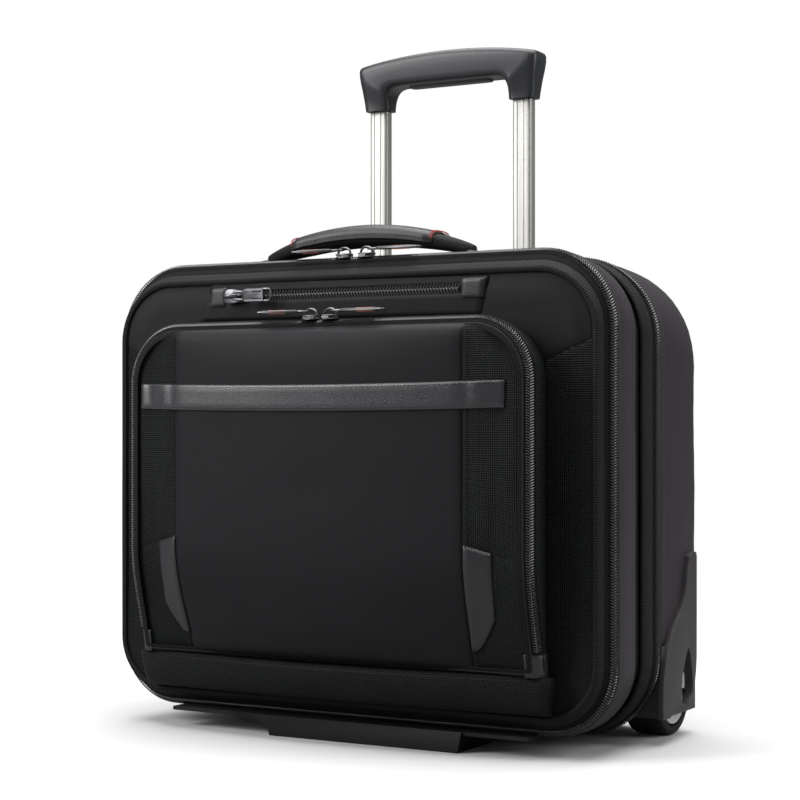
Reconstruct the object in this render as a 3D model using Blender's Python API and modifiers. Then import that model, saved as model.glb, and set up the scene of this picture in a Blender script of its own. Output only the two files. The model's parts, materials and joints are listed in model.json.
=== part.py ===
"""Rolling laptop case with a telescoping trolley, a front pocket and two wheels.

Frame: +X to the right of someone facing the front, the front faces -Y, +Z up, floor at Z = 0.
Depths are given as "behind", the distance behind the plane of the front panel.
Run with: blender --background --python part.py
"""
import math

import bmesh
import bpy
from mathutils import Matrix, Vector

# ---- driving dimensions, in metres ------------------------------------------------------------
GAP = 0.0003                # clearance between sewn or fixed neighbours
DEPTH_SHIFT = 0.0663        # world Y = behind - DEPTH_SHIFT, which centres the case on Y
WALL = 0.003                # padded fabric wall
CORNER_STEPS = 7            # segments in each rounded corner of the body

# The body's outline at five depths: behind, half width, low Z, high Z, low radius, high radius.
STATIONS = (
    (0.0000, 0.2118, 0.0225, 0.3537, 0.046, 0.051),
    (0.0120, 0.2152, 0.0166, 0.3625, 0.050, 0.057),
    (0.0895, 0.2152, 0.0068, 0.3615, 0.060, 0.064),
    (0.1595, 0.2152, 0.0068, 0.3610, 0.070, 0.076),
    (0.1820, 0.2142, 0.0080, 0.3600, 0.080, 0.085),
)
PANEL_BACK = 0.0082         # back of the front panel's piping
ZIP_ONE = 0.0120            # middle of the organizer zipper
SECTION_BACK = 0.0835       # back wall of the front section
ZIP_TWO = 0.0895            # middle of the main zipper
SHELL_RIM = 0.0956
BACK = 0.1820
BACK_EDGE_RADIUS = 0.0225

POCKET_HALF_WIDTH = 0.1735  # at the pocket's zipper
POCKET_LOW, POCKET_HIGH = 0.0570, 0.3140
POCKET_TOP_RADIUS, POCKET_LOW_RADIUS = 0.045, 0.010
POCKET_SHOULDER = 0.013     # from the zipper in to the grid of the pocket face
POCKET_SEAM_X = 0.124       # seam between the pocket's middle panel and its sloping side panels
POCKET_CROWN_X = 0.130      # half width that the middle panel's crown is spread over
POCKET_STEPS = 5
POCKET_SIDES = (0.06, 0.12, 0.18, 0.24, 0.31, 0.40, 0.55, 0.75)
POCKET_ENDS = (0.04, 0.08, 0.125, 0.25, 0.375, 0.5, 0.625, 0.75, 0.875, 0.92, 0.96)
STRIPE_HALF_LENGTH = 0.1530
STRIPE_LOW, STRIPE_HEIGHT = 0.2472, 0.0190
TAB_LOW, TAB_HEIGHT, TAB_WIDTH = 0.0765, 0.0735, 0.0180

TUBE_X, TUBE_BEHIND = 0.067, 0.169
UPPER_TUBE = (0.0164, 0.0104)
MIDDLE_TUBE = (0.0192, 0.0132)
OUTER_TUBE = (0.0220, 0.0160)
TUBE_WALL = 0.001
GRIP_LOW = 0.5000           # where the grip's legs meet the tubes
GRIP_HALF_WIDTH, GRIP_DEPTH = 0.083, 0.027
GRIP_UNDERSIDE, GRIP_TOP = 0.5185, 0.5450
BUTTON_HALF_WIDTH = 0.038

WHEEL_BEHIND, WHEEL_RADIUS = 0.150, 0.0325
WHEEL_INNER_X, WHEEL_OUTER_X = 0.1745, 0.2045
HUB_RADIUS, TYRE_INNER_RADIUS = 0.0240, 0.0245
AXLE_RADIUS, BORE_RADIUS, AXLE_LENGTH = 0.0040, 0.0043, 0.0402
WELL_INNER_X, WELL_TOP, WELL_FRONT = 0.1690, 0.0735, 0.0960
PLATE_INNER_X, PLATE_OUTER_X = 0.2155, 0.2195

HANDLE_BEHIND, HANDLE_HALF_LENGTH = 0.038, 0.091
HANDLE_SLEEVE_HALF_LENGTH = 0.062
HANDLE_AXIS_Z = 0.3668

BAR_HALF_WIDTH = 0.176      # the padded bar across the foot of the front panel
FLANGE_HALF_WIDTH = 0.156   # the plastic flange under the front section
FOOT_LEFT_X, FOOT_RIGHT_X = -0.098, 0.100

# ---- zipper sliders and pulls ------------------------------------------------------------------
LONG_PULL, SHORT_PULL = 0.0425, 0.0255      # from the hinge to the tip, before scaling
LEFT, RIGHT, UP, FORWARD = (-1, 0, 0), (1, 0, 0), (0, 0, 1), (0, -1, 0)
# name: (parent body, place on the zipper as x, behind, z, travel, outward, scale, pull length)
SLIDERS = {
    "organizer_slider_left": ("front_section", (-0.0070, ZIP_ONE, 0.3625), LEFT, UP, 1.0, LONG_PULL),
    "organizer_slider_right": ("front_section", (0.0135, ZIP_ONE, 0.3625), RIGHT, UP, 1.0, LONG_PULL),
    "pocket_slider_left": ("front_panel", (-0.0080, -0.0335, POCKET_HIGH), LEFT, UP, 1.0, LONG_PULL),
    "pocket_slider_right": ("front_panel", (0.0095, -0.0335, POCKET_HIGH), RIGHT, UP, 1.0, LONG_PULL),
    "upper_pocket_slider": ("front_panel", (-0.0955, -0.0022, 0.3360), RIGHT, FORWARD, 1.3, SHORT_PULL),
    "main_slider_left": ("case", (-0.1050, ZIP_TWO, 0.3615), LEFT, UP, 1.0, LONG_PULL),
    "main_slider_right": ("case", (-0.0750, ZIP_TWO, 0.3615), RIGHT, UP, 1.0, LONG_PULL),
}
SLIDER_HALF_LENGTH, SLIDER_HALF_WIDTH, SLIDER_HEIGHT = 0.0068, 0.0044, 0.0046
PULL_HINGE_ALONG, PULL_HINGE_HEIGHT = 0.0035, 0.0064
PULL_HALF_WIDTH, PULL_HALF_THICKNESS = 0.0040, 0.0009

# ---- bodies: name -> (parent body, pivot as x, behind, z) ---------------------------------------
PIVOTS = {
    "case": (None, (0.0, DEPTH_SHIFT, 0.0)),
    "front_section": ("case", (0.0, ZIP_TWO, 0.0062)),
    "front_panel": ("front_section", (0.0, -0.0040, 0.0160)),
    "pocket_flap": ("front_panel", (0.0, -0.0185, 0.0572)),
    "carry_handle": ("front_section", (0.0, HANDLE_BEHIND, HANDLE_AXIS_Z)),
    "trolley_middle": ("case", (0.0, TUBE_BEHIND, 0.050)),
    "trolley_upper": ("trolley_middle", (0.0, TUBE_BEHIND, GRIP_LOW)),
    "grip_button": ("trolley_upper", (0.0, TUBE_BEHIND, GRIP_UNDERSIDE)),
    "wheel_left": ("case", (-0.1895, WHEEL_BEHIND, WHEEL_RADIUS)),
    "wheel_right": ("case", (0.1895, WHEEL_BEHIND, WHEEL_RADIUS)),
}

# ---- materials: name -> (colour, roughness, metallic) -------------------------------------------
MATERIALS = {
    "smooth_fabric": ((0.016, 0.015, 0.017), 0.75, 0.0),
    "woven_fabric": ((0.014, 0.015, 0.017), 0.85, 0.0),
    "piping_fabric": ((0.018, 0.018, 0.020), 0.80, 0.0),
    "leather": ((0.050, 0.050, 0.054), 0.45, 0.0),
    "zipper": ((0.020, 0.020, 0.021), 0.55, 0.0),
    "slider_metal": ((0.110, 0.110, 0.115), 0.30, 1.0),
    "lining": ((0.060, 0.060, 0.065), 0.85, 0.0),
    "housing_plastic": ((0.035, 0.036, 0.040), 0.55, 0.0),
    "grip_plastic": ((0.020, 0.022, 0.026), 0.35, 0.0),
    "tube_aluminium": ((0.620, 0.620, 0.610), 0.35, 1.0),
    "tyre_rubber": ((0.020, 0.020, 0.020), 0.80, 0.0),
    "hub_plastic": ((0.250, 0.250, 0.260), 0.45, 0.0),
    "steel": ((0.500, 0.500, 0.500), 0.35, 1.0),
}

made_materials = {}
pivot_empties = {}


# ---- scene helpers --------------------------------------------------------------------------------
def clear_scene():
    for old in list(bpy.data.objects):
        bpy.data.objects.remove(old, do_unlink=True)
    for name in ("rolling_laptop_case", "cutters"):
        collection = bpy.data.collections.get(name) or bpy.data.collections.new(name)
        if name not in bpy.context.scene.collection.children:
            bpy.context.scene.collection.children.link(collection)


def make_materials():
    for name, (colour, roughness, metallic) in MATERIALS.items():
        material = bpy.data.materials.new(name)
        material.use_nodes = True
        shader = material.node_tree.nodes["Principled BSDF"]
        shader.inputs["Base Color"].default_value = (*colour, 1.0)
        shader.inputs["Roughness"].default_value = roughness
        shader.inputs["Metallic"].default_value = metallic
        material.diffuse_color = (*colour, 1.0)
        made_materials[name] = material


def world(x, behind, z):
    return Vector((x, behind - DEPTH_SHIFT, z))


def make_pivots():
    parts = bpy.data.collections["rolling_laptop_case"]
    for body, (parent, place) in PIVOTS.items():
        empty = bpy.data.objects.new("pivot_" + body, None)
        empty.empty_display_size = 0.02
        empty.location = world(*place)
        if parent:
            empty.parent = pivot_empties[parent]
            empty.location = world(*place) - world(*PIVOTS[parent][1])
        parts.objects.link(empty)
        pivot_empties[body] = empty


def add_pivot(body, parent, place):
    """Adds one more body's pivot, for the sliders and pulls that a loop makes."""
    PIVOTS[body] = (parent, place)
    empty = bpy.data.objects.new("pivot_" + body, None)
    empty.empty_display_size = 0.01
    empty.parent = pivot_empties[parent]
    empty.location = world(*place) - world(*PIVOTS[parent][1])
    bpy.data.collections["rolling_laptop_case"].objects.link(empty)
    pivot_empties[body] = empty


def new_part(name, bm, body, material, smooth_angle=35.0):
    """Turns a bmesh in world coordinates into a named object under its body's pivot."""
    bmesh.ops.remove_doubles(bm, verts=bm.verts, dist=1e-6)
    bmesh.ops.recalc_face_normals(bm, faces=bm.faces)
    mesh = bpy.data.meshes.new(name)
    bm.to_mesh(mesh)
    bm.free()
    mesh.transform(Matrix.Translation(-world(*PIVOTS[body][1])))
    mesh.materials.append(made_materials[material])
    mesh.shade_smooth()
    mesh.set_sharp_from_angle(angle=math.radians(smooth_angle))
    part = bpy.data.objects.new(name, mesh)
    part.parent = pivot_empties[body]
    bpy.data.collections["rolling_laptop_case"].objects.link(part)
    return part


def add_solidify(part, thickness, outward=False):
    """Gives an open surface its wall, on the inner side unless outward is set."""
    modifier = part.modifiers.new("wall", "SOLIDIFY")
    modifier.thickness = thickness
    modifier.offset = 1.0 if outward else -1.0
    modifier.use_even_offset = True
    return part


def cut(part, bm, name):
    """Cuts a closed bmesh in world coordinates out of a part."""
    bmesh.ops.recalc_face_normals(bm, faces=bm.faces)
    mesh = bpy.data.meshes.new(name)
    bm.to_mesh(mesh)
    bm.free()
    cutter = bpy.data.objects.new(name, mesh)
    cutter.hide_render = True
    cutter.display_type = "WIRE"
    bpy.data.collections["cutters"].objects.link(cutter)
    modifier = part.modifiers.new(name, "BOOLEAN")
    modifier.operation = "DIFFERENCE"
    modifier.solver = "EXACT"
    modifier.object = cutter
    return part


# ---- shape helpers ----------------------------------------------------------------------------------
def rounded_outline(half_width, low, high, r_low, r_high, steps=CORNER_STEPS, sides=(), ends=()):
    """Points (x, z) round a rectangle with round corners, from the low right corner upwards.

    sides and ends are the fractions along the straight stretches where more points go."""
    down = [1.0 - t for t in sides][::-1]
    corners = (
        (half_width - r_low, low + r_low, r_low, -90.0, sides),
        (half_width - r_high, high - r_high, r_high, 0.0, ends),
        (r_high - half_width, high - r_high, r_high, 90.0, down),
        (r_low - half_width, low + r_low, r_low, 180.0, ends),
    )
    arcs = []
    for x, z, radius, start, _ in corners:
        turns = [math.radians(start + 90.0 * i / steps) for i in range(steps + 1)]
        arcs.append([(x + radius * math.cos(a), z + radius * math.sin(a)) for a in turns])
    points = []
    for index, arc in enumerate(arcs):
        points += arc
        following = arcs[(index + 1) % 4][0]
        for t in corners[index][4]:
            points.append((arc[-1][0] * (1 - t) + following[0] * t,
                           arc[-1][1] * (1 - t) + following[1] * t))
    return points


def body_outline(behind, inset):
    """The body's outline at a depth, moved in by inset."""
    place = min(max(behind, STATIONS[0][0]), STATIONS[-1][0])
    for first, second in zip(STATIONS, STATIONS[1:]):
        if place <= second[0]:
            break
    t = (place - first[0]) / (second[0] - first[0])
    half_width, low, high, r_low, r_high = (a * (1 - t) + b * t for a, b in zip(first[1:], second[1:]))
    return rounded_outline(half_width - inset, low + inset, high - inset,
                           max(r_low - inset, 0.002), max(r_high - inset, 0.002))


def body_loop(behind, inset):
    return [world(x, behind, z) for x, z in body_outline(behind, inset)]


def loft(loops, ring=False, caps=True):
    """A surface through loops of equally many points; ring joins the last loop to the first."""
    bm = bmesh.new()
    rows = [[bm.verts.new(p) for p in loop] for loop in loops]
    pairs = list(zip(rows, rows[1:]))
    if ring:
        pairs.append((rows[-1], rows[0]))
    for low, high in pairs:
        for i in range(len(low)):
            j = (i + 1) % len(low)
            bm.faces.new((low[i], low[j], high[j], high[i]))
    if caps and not ring:
        bm.faces.new(rows[0])
        bm.faces.new(rows[-1])
    return bm


def body_ring(name, profile, body, material):
    """A ring round the body; profile is a closed section of (behind, inset) points."""
    return new_part(name, loft([body_loop(*p) for p in profile], ring=True), body, material)


def box(low, high, bevel=0.0, segments=2):
    """A box between two (x, behind, z) corners, with its edges rounded by bevel."""
    a, b = world(*low), world(*high)
    bm = bmesh.new()
    bmesh.ops.create_cube(bm, size=1.0)
    bmesh.ops.scale(bm, vec=b - a, verts=bm.verts)
    bmesh.ops.translate(bm, vec=(a + b) / 2, verts=bm.verts)
    if bevel:
        bmesh.ops.bevel(bm, geom=bm.edges, offset=bevel, segments=segments, affect="EDGES", profile=0.5)
    return bm


def prism(points, low, high, axis):
    """A flat outline pushed along X, Y (as behind) or Z from low to high.

    Points are (behind, z) for axis X, (x, z) for axis Y and (x, behind) for axis Z."""
    place = {
        "X": lambda p, t: world(t, p[0], p[1]),
        "Y": lambda p, t: world(p[0], t, p[1]),
        "Z": lambda p, t: world(p[0], p[1], t),
    }[axis]
    return loft([[place(p, low) for p in points], [place(p, high) for p in points]])


def arc(cx, cy, radius, start, end, steps):
    """Points on an arc, by centre, radius and two angles in degrees."""
    turns = [math.radians(start + (end - start) * i / steps) for i in range(steps + 1)]
    return [(cx + radius * math.cos(a), cy + radius * math.sin(a)) for a in turns]


def turned(name, profile, centre, body, material, steps=28):
    """A solid turned about X by a Screw modifier; profile is a closed loop of (radius, x)."""
    bm = bmesh.new()
    points = [bm.verts.new((x, 0.0, radius)) for radius, x in profile]
    for i, point in enumerate(points):
        bm.edges.new((point, points[(i + 1) % len(points)]))
    mesh = bpy.data.meshes.new(name)
    bm.to_mesh(mesh)
    bm.free()
    mesh.materials.append(made_materials[material])
    part = bpy.data.objects.new(name, mesh)
    part.parent = pivot_empties[body]
    part.location = world(*centre) - world(*PIVOTS[body][1])
    bpy.data.collections["rolling_laptop_case"].objects.link(part)
    modifier = part.modifiers.new("turn", "SCREW")
    modifier.axis = "X"
    modifier.steps = steps
    modifier.render_steps = steps
    modifier.use_merge_vertices = True
    modifier.merge_threshold = 0.00001
    modifier.use_smooth_shade = True
    modifier.use_normal_calculate = True
    return part


def mirror_bmesh(bm):
    bmesh.ops.scale(bm, vec=(-1.0, 1.0, 1.0), verts=bm.verts)
    bmesh.ops.reverse_faces(bm, faces=bm.faces)
    return bm


# ---- case: rear shell, trolley channels, wheel housings ---------------------------------------------
def make_rear_shell():
    """A padded tub, open to the front, with round back edges and its wheel corners cut away."""
    edge_start = BACK - BACK_EDGE_RADIUS
    inner = [body_loop(b, i) for b, i in ((BACK - WALL, BACK_EDGE_RADIUS + 0.001),
                                          (BACK - WALL - 0.006, 0.0095), (edge_start, WALL),
                                          (SHELL_RIM, WALL + 0.0015))]
    outer = [body_loop(SHELL_RIM, 0.0015), body_loop(SHELL_RIM + 0.004, 0.0)]
    outer.append(body_loop(0.130, 0.0))
    for i in range(5):
        angle = math.radians(90.0 * i / 5 + 2.0)
        outer.append(body_loop(edge_start + BACK_EDGE_RADIUS * math.sin(angle),
                               BACK_EDGE_RADIUS * (1.0 - math.cos(angle))))
    outer.append(body_loop(BACK, BACK_EDGE_RADIUS))
    shell = new_part("rear_shell", loft(inner + outer), "case", "smooth_fabric")
    for side in (-1, 1):
        x_low, x_high = sorted((side * (WELL_INNER_X - GAP), side * 0.23))
        corner = box((x_low, 0.085, -0.01), (x_high, 0.19, WELL_TOP + GAP))
        cut(shell, corner, "wheel_corner_cut_" + side_name(side))
        half_x, half_y = OUTER_TUBE[0] / 2 + 0.0004, OUTER_TUBE[1] / 2 + 0.0004
        slot = box((side * TUBE_X - half_x, TUBE_BEHIND - half_y, 0.330),
                   (side * TUBE_X + half_x, TUBE_BEHIND + half_y, 0.38))
        cut(shell, slot, "tube_slot_cut_" + side_name(side))


def side_name(side):
    return "left" if side < 0 else "right"


def make_case_zipper():
    body_ring("main_zipper_rear_tape",
              ((ZIP_TWO + GAP, 0.0006), (ZIP_TWO + GAP, 0.0050), (SHELL_RIM - GAP, 0.0050),
               (SHELL_RIM - GAP, 0.0016), (ZIP_TWO + 0.003, 0.0)), "case", "zipper")


def make_trolley_cover():
    """The lining board that hides the trolley channels from the main compartment."""
    board = box((-0.150, 0.1560, 0.034), (0.150, 0.1588, 0.335), 0.001, 1)
    new_part("trolley_cover_board", board, "case", "lining")


def tube_bmesh(centre_x, size, low, high, corner=0.003):
    """A hollow rectangular tube with round corners, standing along Z and open at both ends."""
    loops = []
    for z, inset in ((low, 0.0), (high, 0.0), (high, TUBE_WALL), (low, TUBE_WALL)):
        half_x, half_y = size[0] / 2 - inset, size[1] / 2 - inset
        radius = corner - inset
        points = []
        for sx, sy, start in ((1, -1, -90), (1, 1, 0), (-1, 1, 90), (-1, -1, 180)):
            points += arc(sx * (half_x - radius), sy * (half_y - radius), radius, start, start + 90, 3)
        loops.append([world(centre_x + x, TUBE_BEHIND + y, z) for x, y in points])
    return loft(loops, ring=True)


def make_trolley_tubes():
    stages = (("trolley_channel", OUTER_TUBE, 0.030, 0.3480, "case"),
              ("trolley_middle_tube", MIDDLE_TUBE, 0.050, 0.3660, "trolley_middle"),
              ("trolley_upper_tube", UPPER_TUBE, 0.190, GRIP_LOW - GAP, "trolley_upper"))
    for side in (-1, 1):
        for name, size, low, high, body in stages:
            new_part(name + "_" + side_name(side), tube_bmesh(side * TUBE_X, size, low, high), body,
                     "tube_aluminium")


def make_trolley_bezel():
    """The plastic plate that the tubes come out of."""
    count = 8
    front, rear = 0.1560, BACK - GAP
    under = []
    for i in range(count + 1):
        behind = front + (rear - front) * i / count
        over = max(behind - (BACK - BACK_EDGE_RADIUS), 0.0)
        drop = BACK_EDGE_RADIUS - math.sqrt(BACK_EDGE_RADIUS ** 2 - over ** 2)
        under.append((behind, 0.3617 - drop))
    side_view = under + [(rear, 0.3665), (rear - 0.0015, 0.3682), (front + 0.0015, 0.3682), (front, 0.3665)]
    bezel = new_part("trolley_bezel", prism(side_view, -0.096, 0.096, "X"), "case", "housing_plastic")
    for side in (-1, 1):
        half_x, half_y = MIDDLE_TUBE[0] / 2 + 0.0004, MIDDLE_TUBE[1] / 2 + 0.0004
        hole = box((side * TUBE_X - half_x, TUBE_BEHIND - half_y, 0.340),
                   (side * TUBE_X + half_x, TUBE_BEHIND + half_y, 0.375))
        cut(bezel, hole, "bezel_hole_cut_" + side_name(side))


def make_trolley_bracket():
    bracket = box((-0.088, 0.1600, 0.0225), (0.088, 0.1752, 0.0297), 0.0015)
    new_part("trolley_bottom_bracket", bracket, "case", "housing_plastic")


def housing_plate_outline():
    """Side view of the housing's outer plate, as (behind, z) points."""
    front = [(0.0906, 0.0200), (0.0912, 0.0480), (0.0945, 0.0570), (0.0975, 0.0660), (0.1035, 0.0755),
             (0.1105, 0.0845), (0.1215, 0.0935), (0.1310, 0.1020), (0.1360, 0.1120), (0.1400, 0.1300),
             (0.1440, 0.1375), (0.1500, 0.1410)]
    rear = [(0.1565, 0.1400), (0.1578, 0.1370), (0.1578, 0.0600), (0.1565, 0.0500), (0.1530, 0.0376),
            (0.1450, 0.0280), (0.1380, 0.0242), (0.1280, 0.0253), (0.1190, 0.0250), (0.1040, 0.0200)]
    return front + rear


def well_block():
    """The block that the wheel turns in, with its rear outer corner rounded like the shell's back edge."""
    outer_x, rear, low, radius = 0.2160, 0.1780, 0.0200, 0.0180
    corner = arc(outer_x - radius, rear - radius, radius, 0, 90, 6)
    return prism([(WELL_INNER_X, WELL_FRONT), (outer_x, WELL_FRONT)] + corner + [(WELL_INNER_X, rear)],
                 low, WELL_TOP, "Z")


def make_wheel_housings():
    """A well that wraps the wheel, joined to a raised outer plate with a teardrop window."""
    teardrop = arc(0.1370, 0.0385, 0.0125, -150, 0, 7) + [(0.1485, 0.0480), (0.1450, 0.0620)]
    teardrop += [(0.1410, 0.0690), (0.1370, 0.0640), (0.1280, 0.0480)]
    for side in (-1, 1):
        well = well_block()
        plate = prism(housing_plate_outline(), PLATE_INNER_X, PLATE_OUTER_X, "X")
        cavity = box((WELL_INNER_X + 0.0026, 0.1120, -0.01), (0.2126, 0.20, WELL_TOP - 0.0028))
        window = prism(teardrop, 0.21, 0.23, "X")
        if side < 0:
            well, plate, cavity, window = (mirror_bmesh(bm) for bm in (well, plate, cavity, window))
        housing = new_part("wheel_housing_" + side_name(side), well, "case", "housing_plastic")
        bmesh.ops.recalc_face_normals(plate, faces=plate.faces)
        plate_mesh = bpy.data.meshes.new("housing_plate")
        plate.to_mesh(plate_mesh)
        plate.free()
        plate_guide = bpy.data.objects.new("housing_plate_" + side_name(side), plate_mesh)
        plate_guide.hide_render = True
        plate_guide.display_type = "WIRE"
        bpy.data.collections["cutters"].objects.link(plate_guide)
        union = housing.modifiers.new("plate", "BOOLEAN")
        union.operation = "UNION"
        union.solver = "EXACT"
        union.object = plate_guide
        cut(housing, cavity, "well_cavity_cut_" + side_name(side))
        cut(housing, window, "window_cut_" + side_name(side))


def make_wheels():
    """Soft tyre on a plastic hub, turning on a fixed steel axle."""
    half = (WHEEL_OUTER_X - WHEEL_INNER_X) / 2
    shoulder = WHEEL_RADIUS - 0.0006
    tyre = [(TYRE_INNER_RADIUS, -half), (0.0305, -half), (shoulder, 0.002 - half),
            (WHEEL_RADIUS, 0.005 - half), (WHEEL_RADIUS, half - 0.005), (shoulder, half - 0.002),
            (0.0305, half), (TYRE_INNER_RADIUS, half)]
    hub = [(BORE_RADIUS, -half), (HUB_RADIUS, -half + 0.001), (HUB_RADIUS, half - 0.001),
           (0.0200, half - 0.001), (0.0180, half - 0.005), (0.0090, half - 0.004), (0.0080, half),
           (BORE_RADIUS, half)]
    for side in (-1, 1):
        middle = side * (WHEEL_INNER_X + WHEEL_OUTER_X) / 2
        centre = (middle, WHEEL_BEHIND, WHEEL_RADIUS)
        body = "wheel_" + side_name(side)
        turned("wheel_tyre_" + side_name(side), [(r, side * x) for r, x in tyre], centre, body,
               "tyre_rubber")
        turned("wheel_hub_" + side_name(side), [(r, side * x) for r, x in hub], centre, body,
               "hub_plastic", steps=24)
        axle = bmesh.new()
        turn = Matrix.Rotation(math.radians(90), 4, "Y")
        place = Matrix.Translation(world(side * 0.1920, WHEEL_BEHIND, WHEEL_RADIUS))
        bmesh.ops.create_cone(axle, cap_ends=True, segments=16, radius1=AXLE_RADIUS, radius2=AXLE_RADIUS,
                              depth=AXLE_LENGTH, matrix=place @ turn)
        new_part("axle_" + side_name(side), axle, "case", "steel")


# ---- front section: the organizer's tub, foot and laptop sleeve -------------------------------------
def make_front_section():
    """A tub open to the front; a recessed band runs round it behind the carry handle."""
    inner = [body_loop(b, 0.0080) for b in (SECTION_BACK - WALL, 0.0530, 0.0162)]
    outer = [body_loop(b, i) for b, i in ((0.0162, 0.0012), (0.0300, 0.0010), (0.0510, 0.0014),
                                          (0.0530, 0.0045), (SECTION_BACK - 0.001, 0.0045),
                                          (SECTION_BACK, 0.0060))]
    new_part("front_section_shell", loft(inner + outer), "front_section", "smooth_fabric")
    body_ring("section_piping",
              ((0.0650, 0.0042), (0.0650, 0.0016), (0.0680, 0.0004), (0.0735, 0.0), (0.0790, 0.0004),
               (0.0820, 0.0016), (0.0820, 0.0042)), "front_section", "piping_fabric")
    body_ring("main_zipper_front_tape",
              ((0.0823, 0.0042), (0.0823, 0.0018), (ZIP_TWO - 0.003, 0.0), (ZIP_TWO - GAP, 0.0006),
               (ZIP_TWO - GAP, 0.0042)), "front_section", "zipper")
    body_ring("organizer_zipper_rear_tape",
              ((ZIP_ONE + GAP, 0.0055), (ZIP_ONE + GAP, 0.0), (0.0159, 0.0008), (0.0159, 0.0055)),
              "front_section", "zipper")


def make_base():
    """The flange under the front section, and the moulded foot that the case stands on."""
    side_view = [(-0.0035, 0.0125), (0.0300, 0.0108), (0.0500, 0.0088), (0.0500, 0.0112),
                 (0.0300, 0.0136), (0.0140, 0.0155), (-0.0035, 0.0155)]
    flange = prism(side_view, -FLANGE_HALF_WIDTH, FLANGE_HALF_WIDTH, "X")
    new_part("base_flange", flange, "front_section", "housing_plastic")

    def front_view(top):
        slope = [(FOOT_RIGHT_X + 0.0030 * top / 0.0155, top), (FOOT_LEFT_X, top)]
        curve = [(FOOT_LEFT_X + 0.0350 * math.sin(a), top * math.cos(a))
                 for a in (math.radians(90.0 * i / 6) for i in range(1, 6))]
        return [(FOOT_LEFT_X + 0.0350, 0.0), (FOOT_RIGHT_X, 0.0)] + slope + curve

    sections = ((-0.0060, 0.0155), (-0.0039, 0.0155), (-0.0038, 0.0121), (0.0300, 0.0104), (0.0500, 0.0084),
                (0.0520, 0.0070))
    foot = loft([[world(x, behind, z) for x, z in front_view(top)] for behind, top in sections])
    new_part("front_foot", foot, "front_section", "housing_plastic")


def make_laptop_sleeve():
    """A padded sleeve, open at the top, sewn inside the front section."""
    bm = box((-0.178, 0.0540, 0.042), (0.178, 0.0798, 0.300))
    top = max(bm.faces, key=lambda face: face.calc_center_median().z)
    bmesh.ops.delete(bm, geom=[top], context="FACES")
    add_solidify(new_part("laptop_sleeve", bm, "front_section", "lining"), WALL)


def make_carry_handle():
    """A padded arc with a leather sleeve over its middle, on two sewn anchor patches."""
    def section(x):
        along = x / HANDLE_HALF_LENGTH
        rise = max(1.0 - along * along, 0.0)
        middle = HANDLE_AXIS_Z + 0.0137 * rise
        return middle, 0.0036 + 0.0039 * rise ** 0.7, 0.0040 + 0.0110 * min(1.0, 1.6 * rise)

    def oval(x, grow, start, end, steps):
        middle, half_height, half_width = section(x)
        turns = [math.radians(start + (end - start) * i / steps) for i in range(steps + 1)]
        points = []
        for c, s in ((math.cos(a), math.sin(a)) for a in turns):
            across = (half_width + grow) * math.copysign(abs(c) ** 0.6, c)
            up = (half_height + grow) * math.copysign(abs(s) ** 0.8, s)
            points.append(world(x, HANDLE_BEHIND + across, middle + up))
        return points

    count = 16
    places = [HANDLE_HALF_LENGTH * (2.0 * i / count - 1.0) for i in range(count + 1)]
    core = loft([oval(x, 0.0, 0, 330, 11) for x in places])
    new_part("carry_handle_core", core, "carry_handle", "piping_fabric")
    sleeve_places = [HANDLE_SLEEVE_HALF_LENGTH * (2.0 * i / 12 - 1.0) for i in range(13)]
    loops = [oval(x, 0.0018, -25, 205, 12) + oval(x, 0.0006, 205, -25, 12) for x in sleeve_places]
    new_part("carry_handle_sleeve", loft(loops), "carry_handle", "leather")
    for side in (-1, 1):
        low, high = sorted((side * 0.083, side * 0.106))
        patch = box((low, HANDLE_BEHIND - 0.012, 0.3617), (high, HANDLE_BEHIND + 0.012, 0.3627))
        new_part("handle_anchor_" + side_name(side), patch, "front_section", "leather")


# ---- front panel ------------------------------------------------------------------------------------
def make_front_panel():
    board = loft([[world(x, b, z) for x, z in body_outline(0.0, 0.0073)] for b in (0.0006, 0.0038)])
    new_part("front_panel_board", board, "front_panel", "smooth_fabric")
    profile = ((-0.0012, 0.0020), (0.0004, 0.0002), (PANEL_BACK, 0.0), (PANEL_BACK, 0.0040),
               (0.0042, 0.0070), (0.0004, 0.0070), (-0.0012, 0.0052))
    body_ring("front_panel_piping", profile, "front_panel", "piping_fabric")
    body_ring("organizer_zipper_front_tape",
              ((PANEL_BACK + GAP, 0.0055), (PANEL_BACK + GAP, 0.0), (ZIP_ONE - GAP, 0.0),
               (ZIP_ONE - GAP, 0.0055)), "front_panel", "zipper")
    new_part("upper_pocket_zipper", box((-0.1043, -0.0022, 0.3322), (0.1002, 0.0003, 0.3398)),
             "front_panel", "zipper")
    new_part("upper_zip_tab_left", box((-0.1205, -0.0026, 0.3275), (-0.1046, 0.0003, 0.3435), 0.0008, 1),
             "front_panel", "leather")
    new_part("upper_zip_tab_right", box((0.1005, -0.0026, 0.3275), (0.1205, 0.0003, 0.3435), 0.0008, 1),
             "front_panel", "leather")


def make_bottom_strip():
    """A padded woven bar across the foot of the front panel, fullest in the middle."""
    loops = []
    count = 10
    for i in range(count + 1):
        x = BAR_HALF_WIDTH * (2.0 * i / count - 1.0)
        bulge = 0.0115 + 0.018 * (1.0 - (x / BAR_HALF_WIDTH) ** 2)
        profile = [(0.0003, 0.0335), (-0.3 * bulge, 0.0325), (-0.8 * bulge, 0.0370), (-bulge, 0.0450),
                   (-0.9 * bulge, 0.0530), (-0.45 * bulge, 0.0560), (0.0003, 0.0565)]
        loops.append([world(x, behind, z) for behind, z in profile])
    new_part("bottom_padded_strip", loft(loops), "front_panel", "woven_fabric")


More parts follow.
